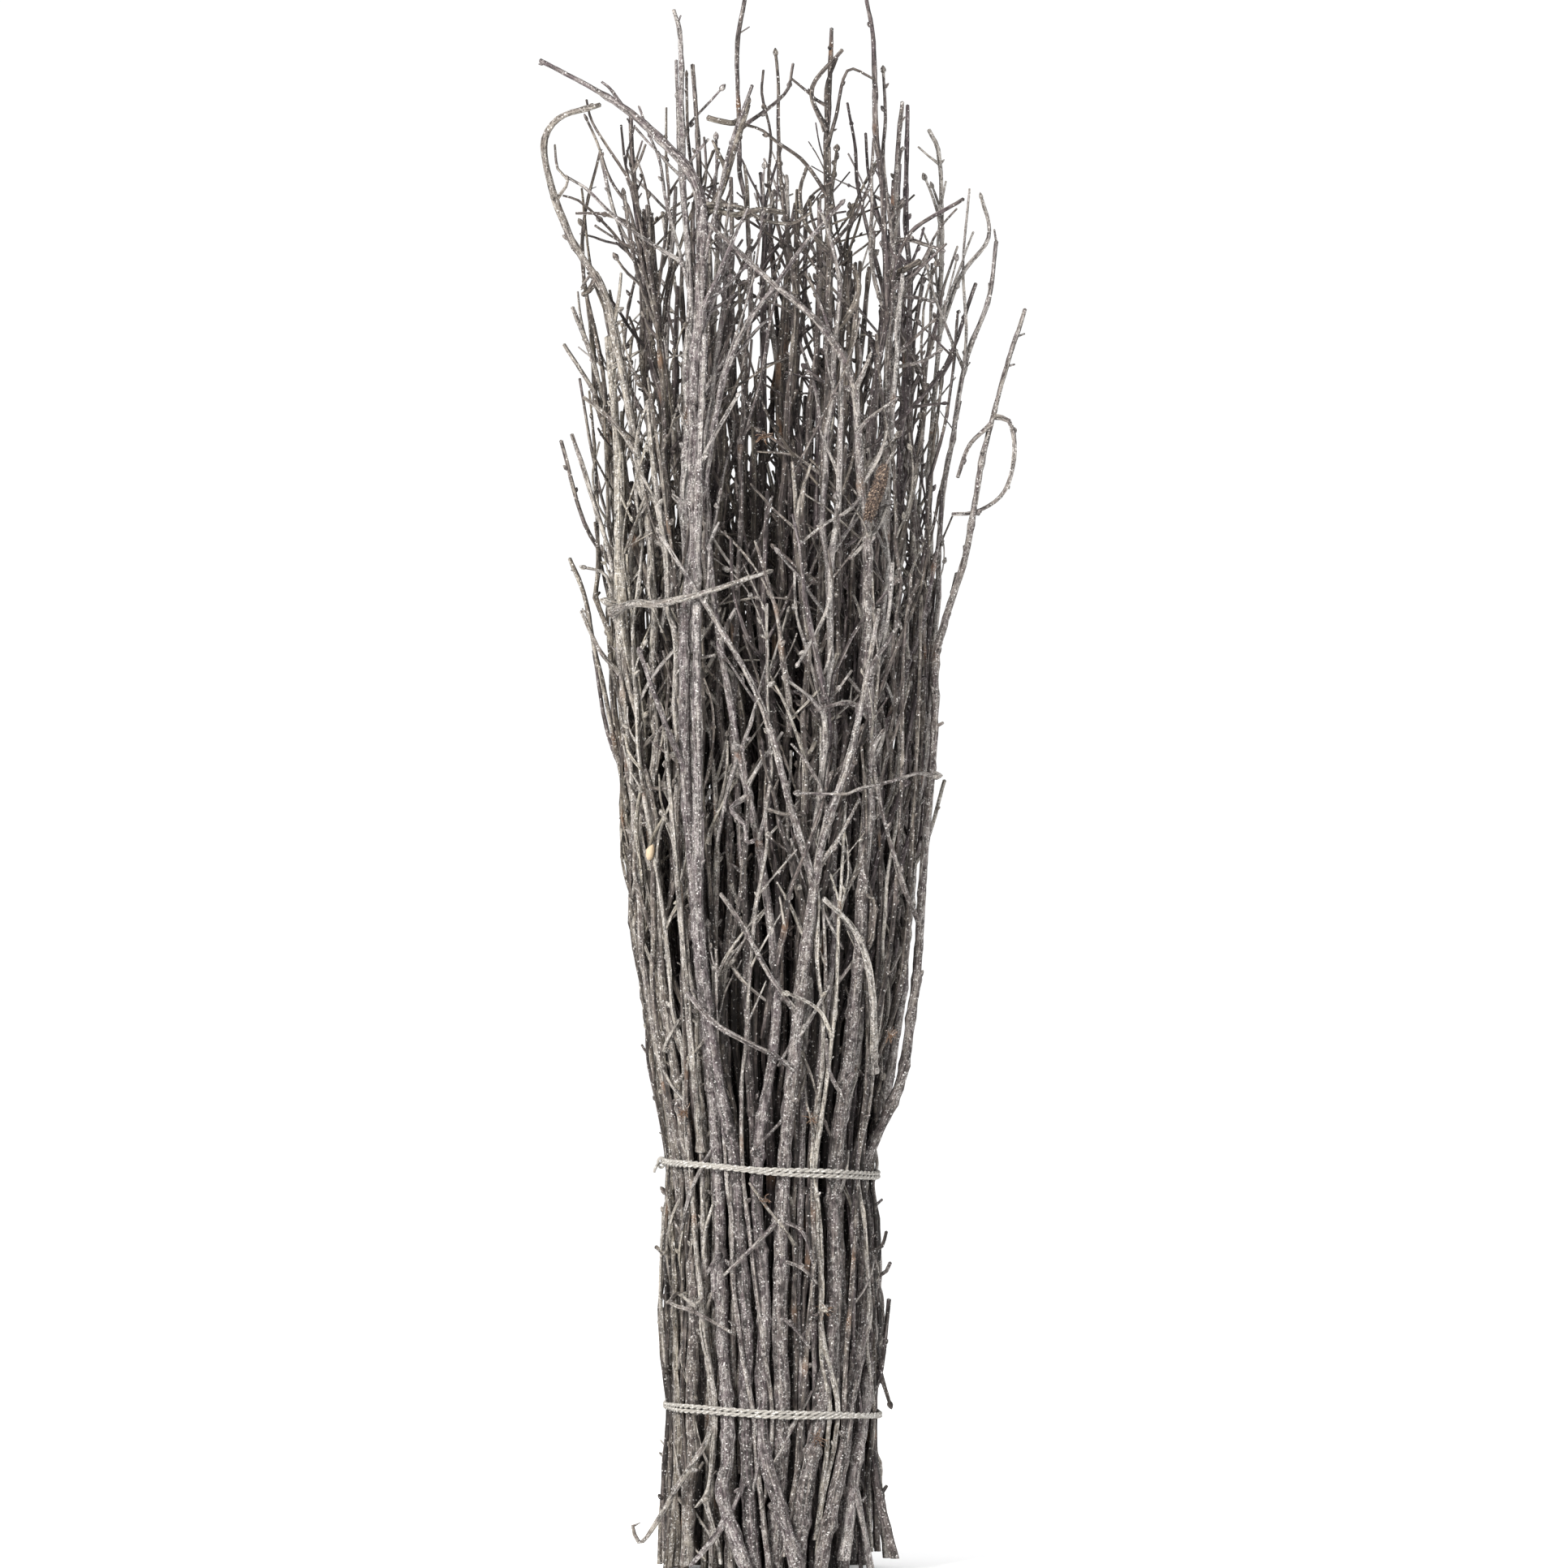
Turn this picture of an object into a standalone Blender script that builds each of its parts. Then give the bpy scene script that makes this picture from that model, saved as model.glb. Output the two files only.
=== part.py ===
"""A bundle of cut, frosted twigs, tied twice with twine and standing on its cut ends.

Each twig is a tapered stem with its side shoots joined on, so each is one solid. The
twigs that shape the outline have routes of their own, and the others fill the rings
between them by rule. The thin twigs in the middle, too many to be solids of their own,
are one fluted solid of their form, with prongs that reach their tips. Two ties of
doubled twine hold it all. The bundle's front is -Y, and it stands on Z = 0.
"""

import math
import random

import bmesh
import bpy
import numpy as np
from mathutils import Vector

# Driving dimensions. Routes, radii and heights below are in millimetres, and MM turns
# them into Blender's metres.
MM = 0.001
UP = Vector((0, 0, 1))
LOWER_TIE = 62.0
UPPER_TIE = 154.0
TIE_RADIUS = 40.5

# The bundle's outline: height and radius, side shoots included.
OUTLINE = (
    (0, 42.5),
    (LOWER_TIE, TIE_RADIUS),
    (107, 42),
    (UPPER_TIE, TIE_RADIUS),
    (200, 48),
    (260, 55),
    (350, 64),
    (430, 71),
    (500, 78),
    (600, 80),
)

# Twig radii and the room kept between neighbours.
TIP_RADIUS = 0.9
SHOOT_TIP = 0.8
CLEARANCE = 0.45

# The ties: the twine's radius, the pitch of its two laps, its gap from the bark, the
# least distance between the points of its path, and the knot's radius and how far its
# centre stands out from the path.
TWINE_RADIUS = 0.85
TWINE_PITCH = 2.0
TIE_CLEARANCE = 0.6
TWINE_STEP = 4.0
KNOT_RADIUS = 2.3
KNOT_STANDS_OUT = 0.9

# Each tie's height, its slope along X and the way its knot faces, in degrees.
TIES = {
    "tie_lower": (LOWER_TIE, -0.04, 80),
    "tie_upper": (UPPER_TIE, -0.062, 183),
}

# The fluted solid of the inner twigs: its share of the outline's radius, its heights,
# how much it draws in at the top, its lobes and the flutes between them.
INNER_SHARE = 0.58
INNER_HEIGHTS = (0, LOWER_TIE, UPPER_TIE, 205, 300, 330)
INNER_DRAWS_IN = 0.86
INNER_LOBES = 16
FLUTE_DEPTH = 2.4

# Its prongs: where they start inside it, their bends and tops, how far the outermost
# stand from the middle at their roots and how much further 300 mm up, and their radius.
PRONGS = 13
PRONG_ROOT = 262.0
PRONG_BENDS = (345, 410)
PRONG_TOPS = (470, 585)
PRONG_REACH = 23.0
PRONG_FLARE = 17.0
PRONG_RADIUS = 2.9

# Feet stand at Z = 0 within this distance of the middle, and lie higher further out. The
# cut is level where a stem leaves it at least this steeply, as a share of upright.
LEVEL_FOOT = 24.0
STEEP = 0.75

BARK = (0.262, 0.246, 0.236)
INNER_BARK = (0.20, 0.19, 0.182)
TWINE = (0.53, 0.52, 0.49)

# Twigs with a route of their own: base radius, tip radius and the points of the stem
# from its cut end to its tip, each x, y, z. SHOOTS holds the shoots on them.
ROUTES = {
    "twig_arched": (
        2.8,
        1.5,
        [
            (-6, -38.5, 2),
            (-8, -38, 23),
            (-9.6, -36.5, 61),
            (-9.8, -36.5, 88),
            (-13, -36, 153),
            (-23, -44, 215),
            (-29, -49, 290),
            (-30, -54, 383),
            (-30, -56, 482),
            (-30, -55, 524),
            (-44, -50, 545),
            (-64, -43, 561),
            (-88, -35, 575),
        ],
    ),
    "twig_hooked": (
        2.6,
        1.0,
        [
            (-32, -31, 4),
            (-31, -30.5, 33),
            (-29, -29.5, 43),
            (-30, -27, 61),
            (-29, -27, 100),
            (-31, -23, 153),
            (-41, -24, 228),
            (-46, -30, 383),
            (-51, -31, 430),
            (-61, -32, 482),
            (-77, -33, 510),
            (-87, -33, 541),
            (-82, -34, 552),
            (-64, -36, 558),
        ],
    ),
    "twig_looped": (
        2.8,
        1.3,
        [
            (18.5, -38.5, 2),
            (20.8, -37.5, 14),
            (23.9, -35.5, 29),
            (26.7, -32.5, 43),
            (29, -29, 61),
            (33.2, -21.5, 85),
            (35, -17, 112),
            (35, -14.5, 153),
            (50, -17, 190),
            (58, -20, 243),
            (61, -20, 305),
            (63, -18, 355),
            (74, -16, 389),
            (84, -13, 442),
            (97, -10, 482),
        ],
    ),
    "twig_sweeping": (
        3.4,
        1.2,
        [
            (9.5, -39.5, 0),
            (11.5, -39, 24),
            (14.5, -37.5, 41),
            (18.2, -35, 61),
            (22, -32, 85),
            (24.5, -30.5, 115),
            (24, -30, 153),
            (33, -38, 215),
            (39, -43, 300),
            (37, -49, 383),
            (32, -55, 430),
            (22, -59, 467),
            (-2, -61, 491),
            (-24, -62, 512),
        ],
    ),
    "twig_centre": (
        3.5,
        1.6,
        [
            (1, -34.5, 0),
            (2.8, -35.3, 29),
            (4, -36.5, 61),
            (5, -36.5, 153),
            (10, -44, 201),
            (16, -49, 255),
            (20, -51, 280),
            (31, -55, 312),
            (41, -57, 367),
        ],
    ),
    "twig_left_of_centre": (
        2.8,
        1.1,
        [
            (11, -47, 0),
            (6.8, -45.5, 14),
            (2.9, -43.5, 29),
            (-1.6, -41, 43),
            (-3.2, -37.4, 61),
            (-2.4, -37.4, 104),
            (-5.2, -37.4, 153),
            (3, -46, 222),
            (-3, -50, 275),
            (-14, -51, 332),
            (-22, -51, 380),
            (-21, -50, 440),
            (-16, -47, 508),
        ],
    ),
    "twig_outer_left": (
        2.0,
        1.0,
        [
            (-38, -8, 7),
            (-37, -6, 61),
            (-38, -6, 153),
            (-48, -7, 228),
            (-53, -8, 281),
            (-67, -9, 348),
            (-71, -9, 371),
            (-77, -8, 387),
        ],
    ),
    "twig_left_fork": (
        2.5,
        1.1,
        [
            (-37, 4, 4),
            (-36, 3, 61),
            (-36, 4, 153),
            (-48, 4, 240),
            (-52, 3, 320),
            (-57, 1, 410),
            (-66, -1, 458),
            (-76, -2, 483),
        ],
    ),
    "twig_left_bent": (
        2.3,
        1.0,
        [
            (-36, -14, 7),
            (-35, -13, 61),
            (-35.5, -13, 153),
            (-46, -17, 220),
            (-53, -19, 300),
            (-59, -21, 383),
            (-69, -20, 414),
            (-76, -18, 434),
        ],
    ),
    "twig_right_high": (
        2.7,
        1.0,
        [
            (27.5, -32.5, 6),
            (30, -29.5, 26),
            (32, -27, 41),
            (35.2, -20.5, 61),
            (37.5, -12, 85),
            (38, -8, 115),
            (37, -5, 153),
            (48, -5, 205),
            (57, -7, 300),
            (63, -9, 385),
            (72, -10, 452),
            (83, -9, 487),
            (86, -8, 508),
        ],
    ),
    "twig_right_slim": (
        2.3,
        0.9,
        [
            (36, 12, 4),
            (35, 11, 61),
            (35, 10, 153),
            (49, 10, 215),
            (57, 9, 310),
            (63, 7, 410),
            (67, 5, 504),
            (64, 3, 542),
            (60, 3, 551),
        ],
    ),
    "twig_tall_left": (
        2.7,
        0.9,
        [
            (-9, -45, 2),
            (-12, -44, 11),
            (-16.4, -42, 23),
            (-19, -40, 34),
            (-16.6, -38, 44),
            (-16.4, -35.6, 61),
            (-19, -33, 100),
            (-20, -31, 153),
            (-25, -32, 240),
            (-29, -38, 336),
            (-31, -41, 430),
            (-32, -42, 507),
            (-34, -41, 584),
            (-37, -40, 594),
        ],
    ),
    "twig_tall_middle": (
        2.2,
        0.8,
        [
            (-6, -29, 0),
            (-6, -29, 61),
            (-6, -29, 153),
            (-9, -37, 240),
            (-12, -41, 336),
            (-12, -43, 430),
            (-11, -43, 520),
            (-13, -42, 578),
            (-9, -42, 602),
        ],
    ),
    "twig_tall_right": (
        2.4,
        1.2,
        [
            (17, -25, 0),
            (16.5, -24, 61),
            (16, -24, 153),
            (27, -30, 240),
            (35, -34, 336),
            (40, -35, 430),
            (41, -36, 520),
            (39, -36, 581),
            (36, -36, 599),
        ],
    ),
    "twig_thick_right": (
        3.0,
        1.7,
        [
            (27, -20, 2),
            (26, -19, 61),
            (26, -18, 153),
            (35, -22, 240),
            (42, -26, 336),
            (45, -27, 430),
            (47, -27, 519),
            (50, -26, 560),
        ],
    ),
    "twig_forked_top": (
        2.7,
        1.5,
        [
            (8, -29, 0),
            (7, -28, 61),
            (7, -28, 153),
            (13, -35, 240),
            (17, -40, 336),
            (19, -42, 430),
            (20, -42, 540),
            (23, -41, 587),
        ],
    ),
    "twig_hooked_foot": (
        0.8,
        1.9,
        [
            (-49.5, -27, 20),
            (-52.5, -27.5, 18.5),
            (-49.5, -29, 12.5),
            (-41.8, -34, 23),
            (-36, -36.5, 33),
            (-30.6, -37, 41),
            (-24, -34.5, 52),
            (-22.3, -32.5, 61),
            (-24.5, -29.5, 100),
            (-26.5, -29, 168),
        ],
    ),
    "twig_splayed_foot": (
        1.8,
        1.2,
        [
            (47, -22, 6),
            (41.5, -19, 29),
            (38.6, -14, 46),
            (38.6, -11, 61),
            (39.2, -4, 85),
            (38.5, -1, 115),
            (37, 2.5, 153),
            (47, 2, 236),
            (52, 0, 310),
            (54, -2, 380),
        ],
    ),
}

# Shoots on the twigs above: root radius and points. The first lies inside the stem.
SHOOTS = {
    "twig_arched": [
        (1.2, [(-29, -50, 305), (-38, -59, 322), (-50, -66, 352)]),
    ],
    "twig_hooked": [
        (1.0, [(-50.6, -31, 426), (-60, -36, 438), (-71, -37, 447)]),
    ],
    "twig_looped": [
        (
            1.0,
            [
                (83.5, -13.2, 440),
                (90, -12, 438),
                (92, -11, 425),
                (88, -11, 411),
                (78, -14, 404),
                (69, -18, 403),
            ],
        ),
        (0.9, [(83, -13.4, 437), (75, -17, 429), (71, -21, 417)]),
    ],
    "twig_centre": [
        (1.7, [(17, -49.6, 262), (9, -55, 288), (-4, -58, 332), (-22, -60, 364), (-43, -62, 396)]),
    ],
    "twig_tall_left": [
        (1.8, [(-16.6, -41.9, 23.5), (-20, -42.5, 17.5), (-25, -42, 11), (-30.5, -40.5, 4.5)]),
    ],
    "twig_hooked_foot": [
        (1.6, [(-26.4, -29, 161), (-30, -37, 200), (-34, -42, 248), (-40, -46, 320)]),
    ],
    "twig_left_fork": [
        (1.0, [(-63, -0.4, 443), (-70, -6, 455), (-79, -8, 468)]),
    ],
    "twig_left_bent": [
        (0.9, [(-56, -20, 343), (-64, -26, 351), (-72, -29, 366)]),
    ],
    "twig_right_high": [
        (0.9, [(60, -8, 345), (66, -2, 362), (71, 2, 381)]),
    ],
    "twig_right_slim": [
        (1.0, [(65.6, 5.7, 470), (74, 9, 495), (84, 10, 510), (80, 10, 527)]),
    ],
    "twig_tall_right": [
        (0.9, [(40.6, -35.5, 475), (50, -38, 507), (73, -38, 522)]),
    ],
    "twig_thick_right": [
        (1.1, [(46.4, -27, 490), (56, -30, 496), (61, -31, 504)]),
    ],
    "twig_forked_top": [
        (1.1, [(20, -42, 548), (15, -46, 563), (27, -45, 578)]),
    ],
    "twig_sweeping": [
        (1.0, [(38.2, -44.8, 325), (30, -55, 331), (17, -59, 328)]),
    ],
}

# Rings of the ruled twigs: shares of the outline's radius low down and high up, how many
# twigs there are at most, how many shoots each has, and the ranges of the stems' radii
# and of their tops' heights.
RINGS = (
    {"low": 1.0, "high": 0.87, "most": 22, "shoots": 2, "radii": (2.2, 3.3), "tops": (395, 560)},
    {"low": 0.77, "high": 0.70, "most": 17, "shoots": 1, "radii": (2.0, 3.0), "tops": (430, 585)},
    {"low": 0.92, "high": 0.80, "most": 3, "shoots": 1, "radii": (1.3, 1.8), "tops": (400, 540)},
)
PLACES = 40
PLACE_STRIDE = 13
FRONT = 1.5 * math.pi
TRIES = 30

# How a ruled stem strays from straight: heights where it may bend, its turn round the
# bundle and its change of share on the way up, its sway, and how its foot splays.
BENDS = (205, 290, 375, 455)
SWING = 0.30
SPREAD = (-0.10, 0.04)
SWAY = 7.0
FOOT_SPLAY = (0.96, 1.08)
FOOT_TURN = 0.11
RAISED_FEET = (0.0, 3.0, 5.0, 7.0)

# A ruled shoot: its length, how far it leans from upright and from straight outwards,
# and how much of the lean is left at its tip.
SHOOT_LENGTH = (38, 82)
SHOOT_LEAN = (24, 44)
SHOOT_TURN = 1.1
SHOOT_STRAIGHTENS = 0.45
SHOOT_THICKNESS = 0.62


def outline(height):
    """The bundle's radius at this height."""
    heights, radii = zip(*OUTLINE)
    return float(np.interp(height, heights, radii))


def radius_along(points, first, last):
    """Radii that fall evenly with the length along the points."""
    lengths = [0.0]
    for a, b in zip(points, points[1:]):
        lengths.append(lengths[-1] + (b - a).length)
    return [first + (last - first) * s / lengths[-1] for s in lengths]


def branch(points, first, last):
    """A tapered run of points: (points, radii)."""
    points = [Vector(p) for p in points]
    return points, radius_along(points, first, last)


def point_at(run, height):
    """The point and radius of a stem where it passes this height."""
    points, radii = run
    for a, b, ra, rb in zip(points, points[1:], radii, radii[1:]):
        if a.z <= height <= b.z:
            t = (height - a.z) / max(b.z - a.z, 1e-6)
            return a.lerp(b, t), ra + (rb - ra) * t
    return None


def routed_twig(name):
    """The stem and shoots of a twig that has a route of its own."""
    first, last, points = ROUTES[name]
    stem = branch(points, first, last)
    shoots = [branch(p, r, SHOOT_TIP) for r, p in SHOOTS.get(name, [])]
    return [stem, *shoots]


def ruled_stem(rng, ring, angle):
    """A stem that rises through both ties and then leans out with the outline."""
    base = rng.uniform(*ring["radii"])
    swing = rng.uniform(-SWING, SWING)
    spread = rng.uniform(*SPREAD)
    top = rng.uniform(*ring["tops"])
    lean = Vector((rng.uniform(-1, 1), rng.uniform(-1, 1), 0)) * SWAY
    across = abs(math.cos(angle)) * TIE_RADIUS * ring["low"]
    foot = 0.0 if across < LEVEL_FOOT else rng.choice(RAISED_FEET)
    levels = [foot, LOWER_TIE, UPPER_TIE, *(h for h in BENDS if h < top - 25), top]
    points = []
    for height in levels:
        rise = max(0.0, height - UPPER_TIE) / (OUTLINE[-1][0] - UPPER_TIE)
        change = (ring["high"] - ring["low"] + spread) * min(1.0, rise * 2)
        reach = (outline(height) - base) * (ring["low"] + change)
        turn = angle + swing * rise
        if height == foot:
            reach *= rng.uniform(*FOOT_SPLAY)
            turn += rng.uniform(-FOOT_TURN, FOOT_TURN)
        at = Vector((math.cos(turn) * reach, math.sin(turn) * reach, height))
        points.append(at + lean * rise)
    return branch(points, base, TIP_RADIUS + 0.25)


def ruled_shoot(rng, stem):
    """A shoot that leaves a stem outwards and bends up."""
    low, high = UPPER_TIE + 50, stem[0][-1].z - 30
    root, thickness = point_at(stem, rng.uniform(low, high))
    outward = math.atan2(root.y, root.x) + rng.uniform(-SHOOT_TURN, SHOOT_TURN)
    side = Vector((math.cos(outward), math.sin(outward), 0))
    half = rng.uniform(*SHOOT_LENGTH) / 2
    lean = math.radians(rng.uniform(*SHOOT_LEAN))
    points = [root]
    for tilt in (lean, lean * SHOOT_STRAIGHTENS):
        points.append(points[-1] + (side * math.sin(tilt) + UP * math.cos(tilt)) * half)
    return branch(points, thickness * SHOOT_THICKNESS, SHOOT_TIP)


def with_shoots(rng, stem, wanted, placed):
    """The stem and up to the wanted number of shoots that clear everything placed."""
    runs = [stem]
    for _ in range(TRIES):
        shoot = ruled_shoot(rng, stem)
        if is_clear([shoot], placed + [segments([r]) for r in runs[1:]]):
            runs.append(shoot)
        if len(runs) > wanted:
            break
    return runs


def segments(runs):
    """The runs' segments as arrays: starts, ends, start radii and end radii."""
    starts, ends, first, last = [], [], [], []
    for points, radii in runs:
        starts += points[:-1]
        ends += points[1:]
        first += radii[:-1]
        last += radii[1:]
    return tuple(np.array(a, float) for a in (starts, ends, first, last))


def narrowest_gap(one, other):
    """The least distance between the surfaces of two sets of tapered segments."""
    p, d1, ra, rb = one[0][:, None], (one[1] - one[0])[:, None], one[2][:, None], one[3][:, None]
    q, d2, sa, sb = other[0][None], (other[1] - other[0])[None], other[2][None], other[3][None]
    between = p - q
    a, e, f = (d1 * d1).sum(-1), (d2 * d2).sum(-1), (d2 * between).sum(-1)
    c, b = (d1 * between).sum(-1), (d1 * d2).sum(-1)
    s = np.clip((b * f - c * e) / np.maximum(a * e - b * b, 1e-9), 0, 1)
    t = np.clip((b * s + f) / e, 0, 1)
    s = np.clip((b * t - c) / a, 0, 1)
    apart = between + d1 * s[..., None] - d2 * t[..., None]
    distance = np.sqrt((apart * apart).sum(-1))
    return float((distance - (ra + (rb - ra) * s) - (sa + (sb - sa) * t)).min())


def is_clear(runs, placed):
    """True if the runs keep their clearance from everything placed."""
    mine = segments(runs)
    return all(narrowest_gap(mine, theirs) > CLEARANCE for theirs in placed)


def inner_column():
    """The fluted solid's middle line and radii, from its foot to its top."""
    radii = [outline(height) * INNER_SHARE for height in INNER_HEIGHTS]
    radii[-1] *= INNER_DRAWS_IN
    return [UP * height for height in INNER_HEIGHTS], radii


def inner_prongs():
    """The tops of the inner twigs, which rise out of the fluted solid."""
    rng = random.Random(11)
    golden_turn = math.pi * (3 - math.sqrt(5))
    prongs = []
    for i in range(PRONGS):
        share = math.sqrt((i + 0.5) / PRONGS)
        top = rng.uniform(*PRONG_TOPS) - 60 * share
        middle = (PRONG_BENDS[-1] + top) / 2
        points = []
        for height in (PRONG_ROOT, *PRONG_BENDS, middle, top):
            rise = (height - PRONG_ROOT) / 300
            reach = share * (PRONG_REACH + PRONG_FLARE * rise)
            angle = i * golden_turn + rng.uniform(-0.05, 0.05) * rise
            points.append((math.cos(angle) * reach, math.sin(angle) * reach, height))
        prongs.append(branch(points, PRONG_RADIUS, TIP_RADIUS))
    return prongs


def all_twigs():
    """Every twig that is a solid of its own, as name: runs, none touching another."""
    placed = [segments([inner_column(), *inner_prongs()])]
    twigs = {}
    for name in ROUTES:
        twigs[name] = routed_twig(name)
        placed.append(segments(twigs[name]))
    rng = random.Random(1)
    for ring in RINGS:
        added = 0
        for place in range(PLACES):
            angle = FRONT + 2 * math.pi * (place * PLACE_STRIDE % PLACES) / PLACES
            tries = (ruled_stem(rng, ring, angle) for _ in range(TRIES))
            stem = next((t for t in tries if is_clear([t], placed)), None)
            if stem and added < ring["most"]:
                runs = with_shoots(rng, stem, ring["shoots"], placed)
                twigs[f"twig_{len(twigs) + 1:02d}"] = runs
                placed.append(segments(runs))
                added += 1
    return twigs


def principled(name, colour, roughness):
    """A plain Principled material."""
    material = bpy.data.materials.new(name)
    material.use_nodes = True
    shader = material.node_tree.nodes["Principled BSDF"]
    shader.inputs["Base Color"].default_value = (*colour, 1)
    shader.inputs["Roughness"].default_value = roughness
    shader.inputs["Metallic"].default_value = 0.0
    return material


def tube(name, run, resolution, collection, cyclic=False):
    """A tube along a run of points as a closed mesh object."""
    points, radii = run
    curve = bpy.data.curves.new(name, "CURVE")
    curve.dimensions = "3D"
    curve.bevel_depth = MM
    curve.bevel_resolution = resolution
    curve.use_fill_caps = not cyclic
    spline = curve.splines.new("POLY")
    spline.points.add(len(points) - 1)
    for target, point, radius in zip(spline.points, points, radii):
        target.co = (*(point * MM), 1)
        target.radius = radius
    spline.use_cyclic_u = cyclic
    line = bpy.data.objects.new(name + "_line", curve)
    collection.objects.link(line)
    bpy.context.view_layer.update()
    evaluated = line.evaluated_get(bpy.context.evaluated_depsgraph_get())
    mesh = bpy.data.meshes.new_from_object(evaluated)
    bpy.data.objects.remove(line)
    bm = bmesh.new()
    bm.from_mesh(mesh)
    bmesh.ops.remove_doubles(bm, verts=bm.verts, dist=1e-6)
    bmesh.ops.recalc_face_normals(bm, faces=bm.faces)
    bm.to_mesh(mesh)
    bm.free()
    mesh.name = name
    solid = bpy.data.objects.new(name, mesh)
    collection.objects.link(solid)
    return solid


def join_onto(solid, others):
    """Unions the others, which stay hidden, onto the solid."""
    for other in others:
        other.hide_render = True
        other.display_type = "WIRE"
        union = solid.modifiers.new("join_" + other.name, "BOOLEAN")
        union.operation = "UNION"
        union.solver = "EXACT"
        union.object = other


def smooth_sides(solid):
    """Shades the sides smooth and keeps cut ends sharp."""
    solid.data.shade_smooth()
    solid.data.set_sharp_from_angle(angle=math.radians(62))


def cut_level(solid, foot, radius):
    """Makes the cut end at the foot level."""
    end_of_ring = radius * MM * 1.01
    for vertex in solid.data.vertices:
        if (vertex.co - foot * MM).length < end_of_ring:
            vertex.co.z = foot.z * MM


def make_twig(name, runs, material, shown, hidden):
    """One twig: its stem with the shoots joined on."""
    stem = tube(name, runs[0], 1, shown)
    points, radii = runs[0]
    if (points[1] - points[0]).normalized().z > STEEP:
        cut_level(stem, points[0], radii[0])
    shoots = [tube(f"{name}_shoot_{i}", r, 0, hidden) for i, r in enumerate(runs[1:])]
    join_onto(stem, shoots)
    smooth_sides(stem)
    stem.data.materials.append(material)


def make_inner_twigs(material, shown, hidden):
    """The inner twigs as one fluted solid with the prongs joined on."""
    bm = bmesh.new()
    rings = []
    for centre, radius in zip(*inner_column()):
        ring = bmesh.ops.create_circle(bm, segments=INNER_LOBES * 2, radius=radius * MM)["verts"]
        for i, vertex in enumerate(ring):
            inward = 1 - FLUTE_DEPTH / radius * (i % 2)
            vertex.co = vertex.co * inward + centre * MM
        rings.append(ring)
    for low, high in zip(rings, rings[1:]):
        edges = [e for e in bm.edges if all(v in low or v in high for v in e.verts)]
        bmesh.ops.bridge_loops(bm, edges=edges)
    bm.faces.new(reversed(rings[0]))
    bm.faces.new(rings[-1])
    bmesh.ops.recalc_face_normals(bm, faces=bm.faces)
    mesh = bpy.data.meshes.new("inner_twigs")
    bm.to_mesh(mesh)
    bm.free()
    column = bpy.data.objects.new("inner_twigs", mesh)
    shown.objects.link(column)
    join_onto(column, [tube(f"prong_{i}", r, 0, hidden) for i, r in enumerate(inner_prongs())])
    smooth_sides(column)
    mesh.materials.append(material)


def hull(points):
    """The convex hull of 2D points, anticlockwise."""
    points = sorted(points)

    def half(ordered):
        chain = []
        for p in ordered:
            while len(chain) > 1 and turn_of(chain[-2], chain[-1], p) <= 0:
                chain.pop()
            chain.append(p)
        return chain[:-1]

    return half(points) + half(points[::-1])


def turn_of(a, b, c):
    """Positive where a, b, c turn left."""
    return (b[0] - a[0]) * (c[1] - a[1]) - (b[1] - a[1]) * (c[0] - a[0])


def twine_path(stems, height, slope, offset):
    """The closed line that twine takes round the stems, taut from one to the next."""
    around = []
    for stem in stems:
        crossing = point_at(stem, height)
        if crossing is None:
            continue
        centre, radius = crossing
        reach = radius + TWINE_RADIUS + TIE_CLEARANCE
        for eighth in range(16):
            turn = eighth * math.pi / 8
            around.append((centre.x + math.cos(turn) * reach, centre.y + math.sin(turn) * reach))
    path = []
    for x, y in hull(around):
        point = Vector((x, y, height + slope * x + offset))
        if not path or (point - path[-1]).length > TWINE_STEP:
            path.append(point)
    if (path[0] - path[-1]).length < TWINE_STEP:
        path.pop()
    return path


def make_tie(name, stems, material, shown, hidden):
    """A tie: twine taken twice round the bundle, with its knot."""
    height, slope, knot_faces = TIES[name]
    low = twine_path(stems, height, slope, -TWINE_PITCH / 2)
    high = twine_path(stems, height, slope, TWINE_PITCH / 2)
    tie = tube(name, (low, [TWINE_RADIUS] * len(low)), 0, shown, cyclic=True)
    lap = tube(name + "_lap", (high, [TWINE_RADIUS] * len(high)), 0, hidden, cyclic=True)
    facing = Vector((math.cos(math.radians(knot_faces)), math.sin(math.radians(knot_faces)), 0))
    at = max(low, key=lambda point: point.dot(facing)) + UP * TWINE_PITCH / 2
    bpy.ops.mesh.primitive_ico_sphere_add(
        subdivisions=2,
        radius=KNOT_RADIUS * MM,
        location=(at + facing * KNOT_STANDS_OUT) * MM,
    )
    knot = bpy.context.object
    knot.name = name + "_knot"
    knot.users_collection[0].objects.unlink(knot)
    hidden.objects.link(knot)
    join_onto(tie, [lap, knot])
    tie.data.materials.append(material)


def build():
    """Makes every solid of the bundle."""
    for old in list(bpy.data.objects):
        bpy.data.objects.remove(old)
    shown = bpy.data.collections.new("bundle_of_twigs")
    hidden = bpy.data.collections.new("joined_shapes")
    for collection in (shown, hidden):
        bpy.context.scene.collection.children.link(collection)
    bark = principled("bark", BARK, 0.85)
    inner_bark = principled("inner_bark", INNER_BARK, 0.9)
    twine = principled("twine", TWINE, 0.9)
    twigs = all_twigs()
    for name, runs in twigs.items():
        make_twig(name, runs, bark, shown, hidden)
    make_inner_twigs(inner_bark, shown, hidden)
    stems = [runs[0] for runs in twigs.values()]
    for name in TIES:
        make_tie(name, stems, twine, shown, hidden)


build()
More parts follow.
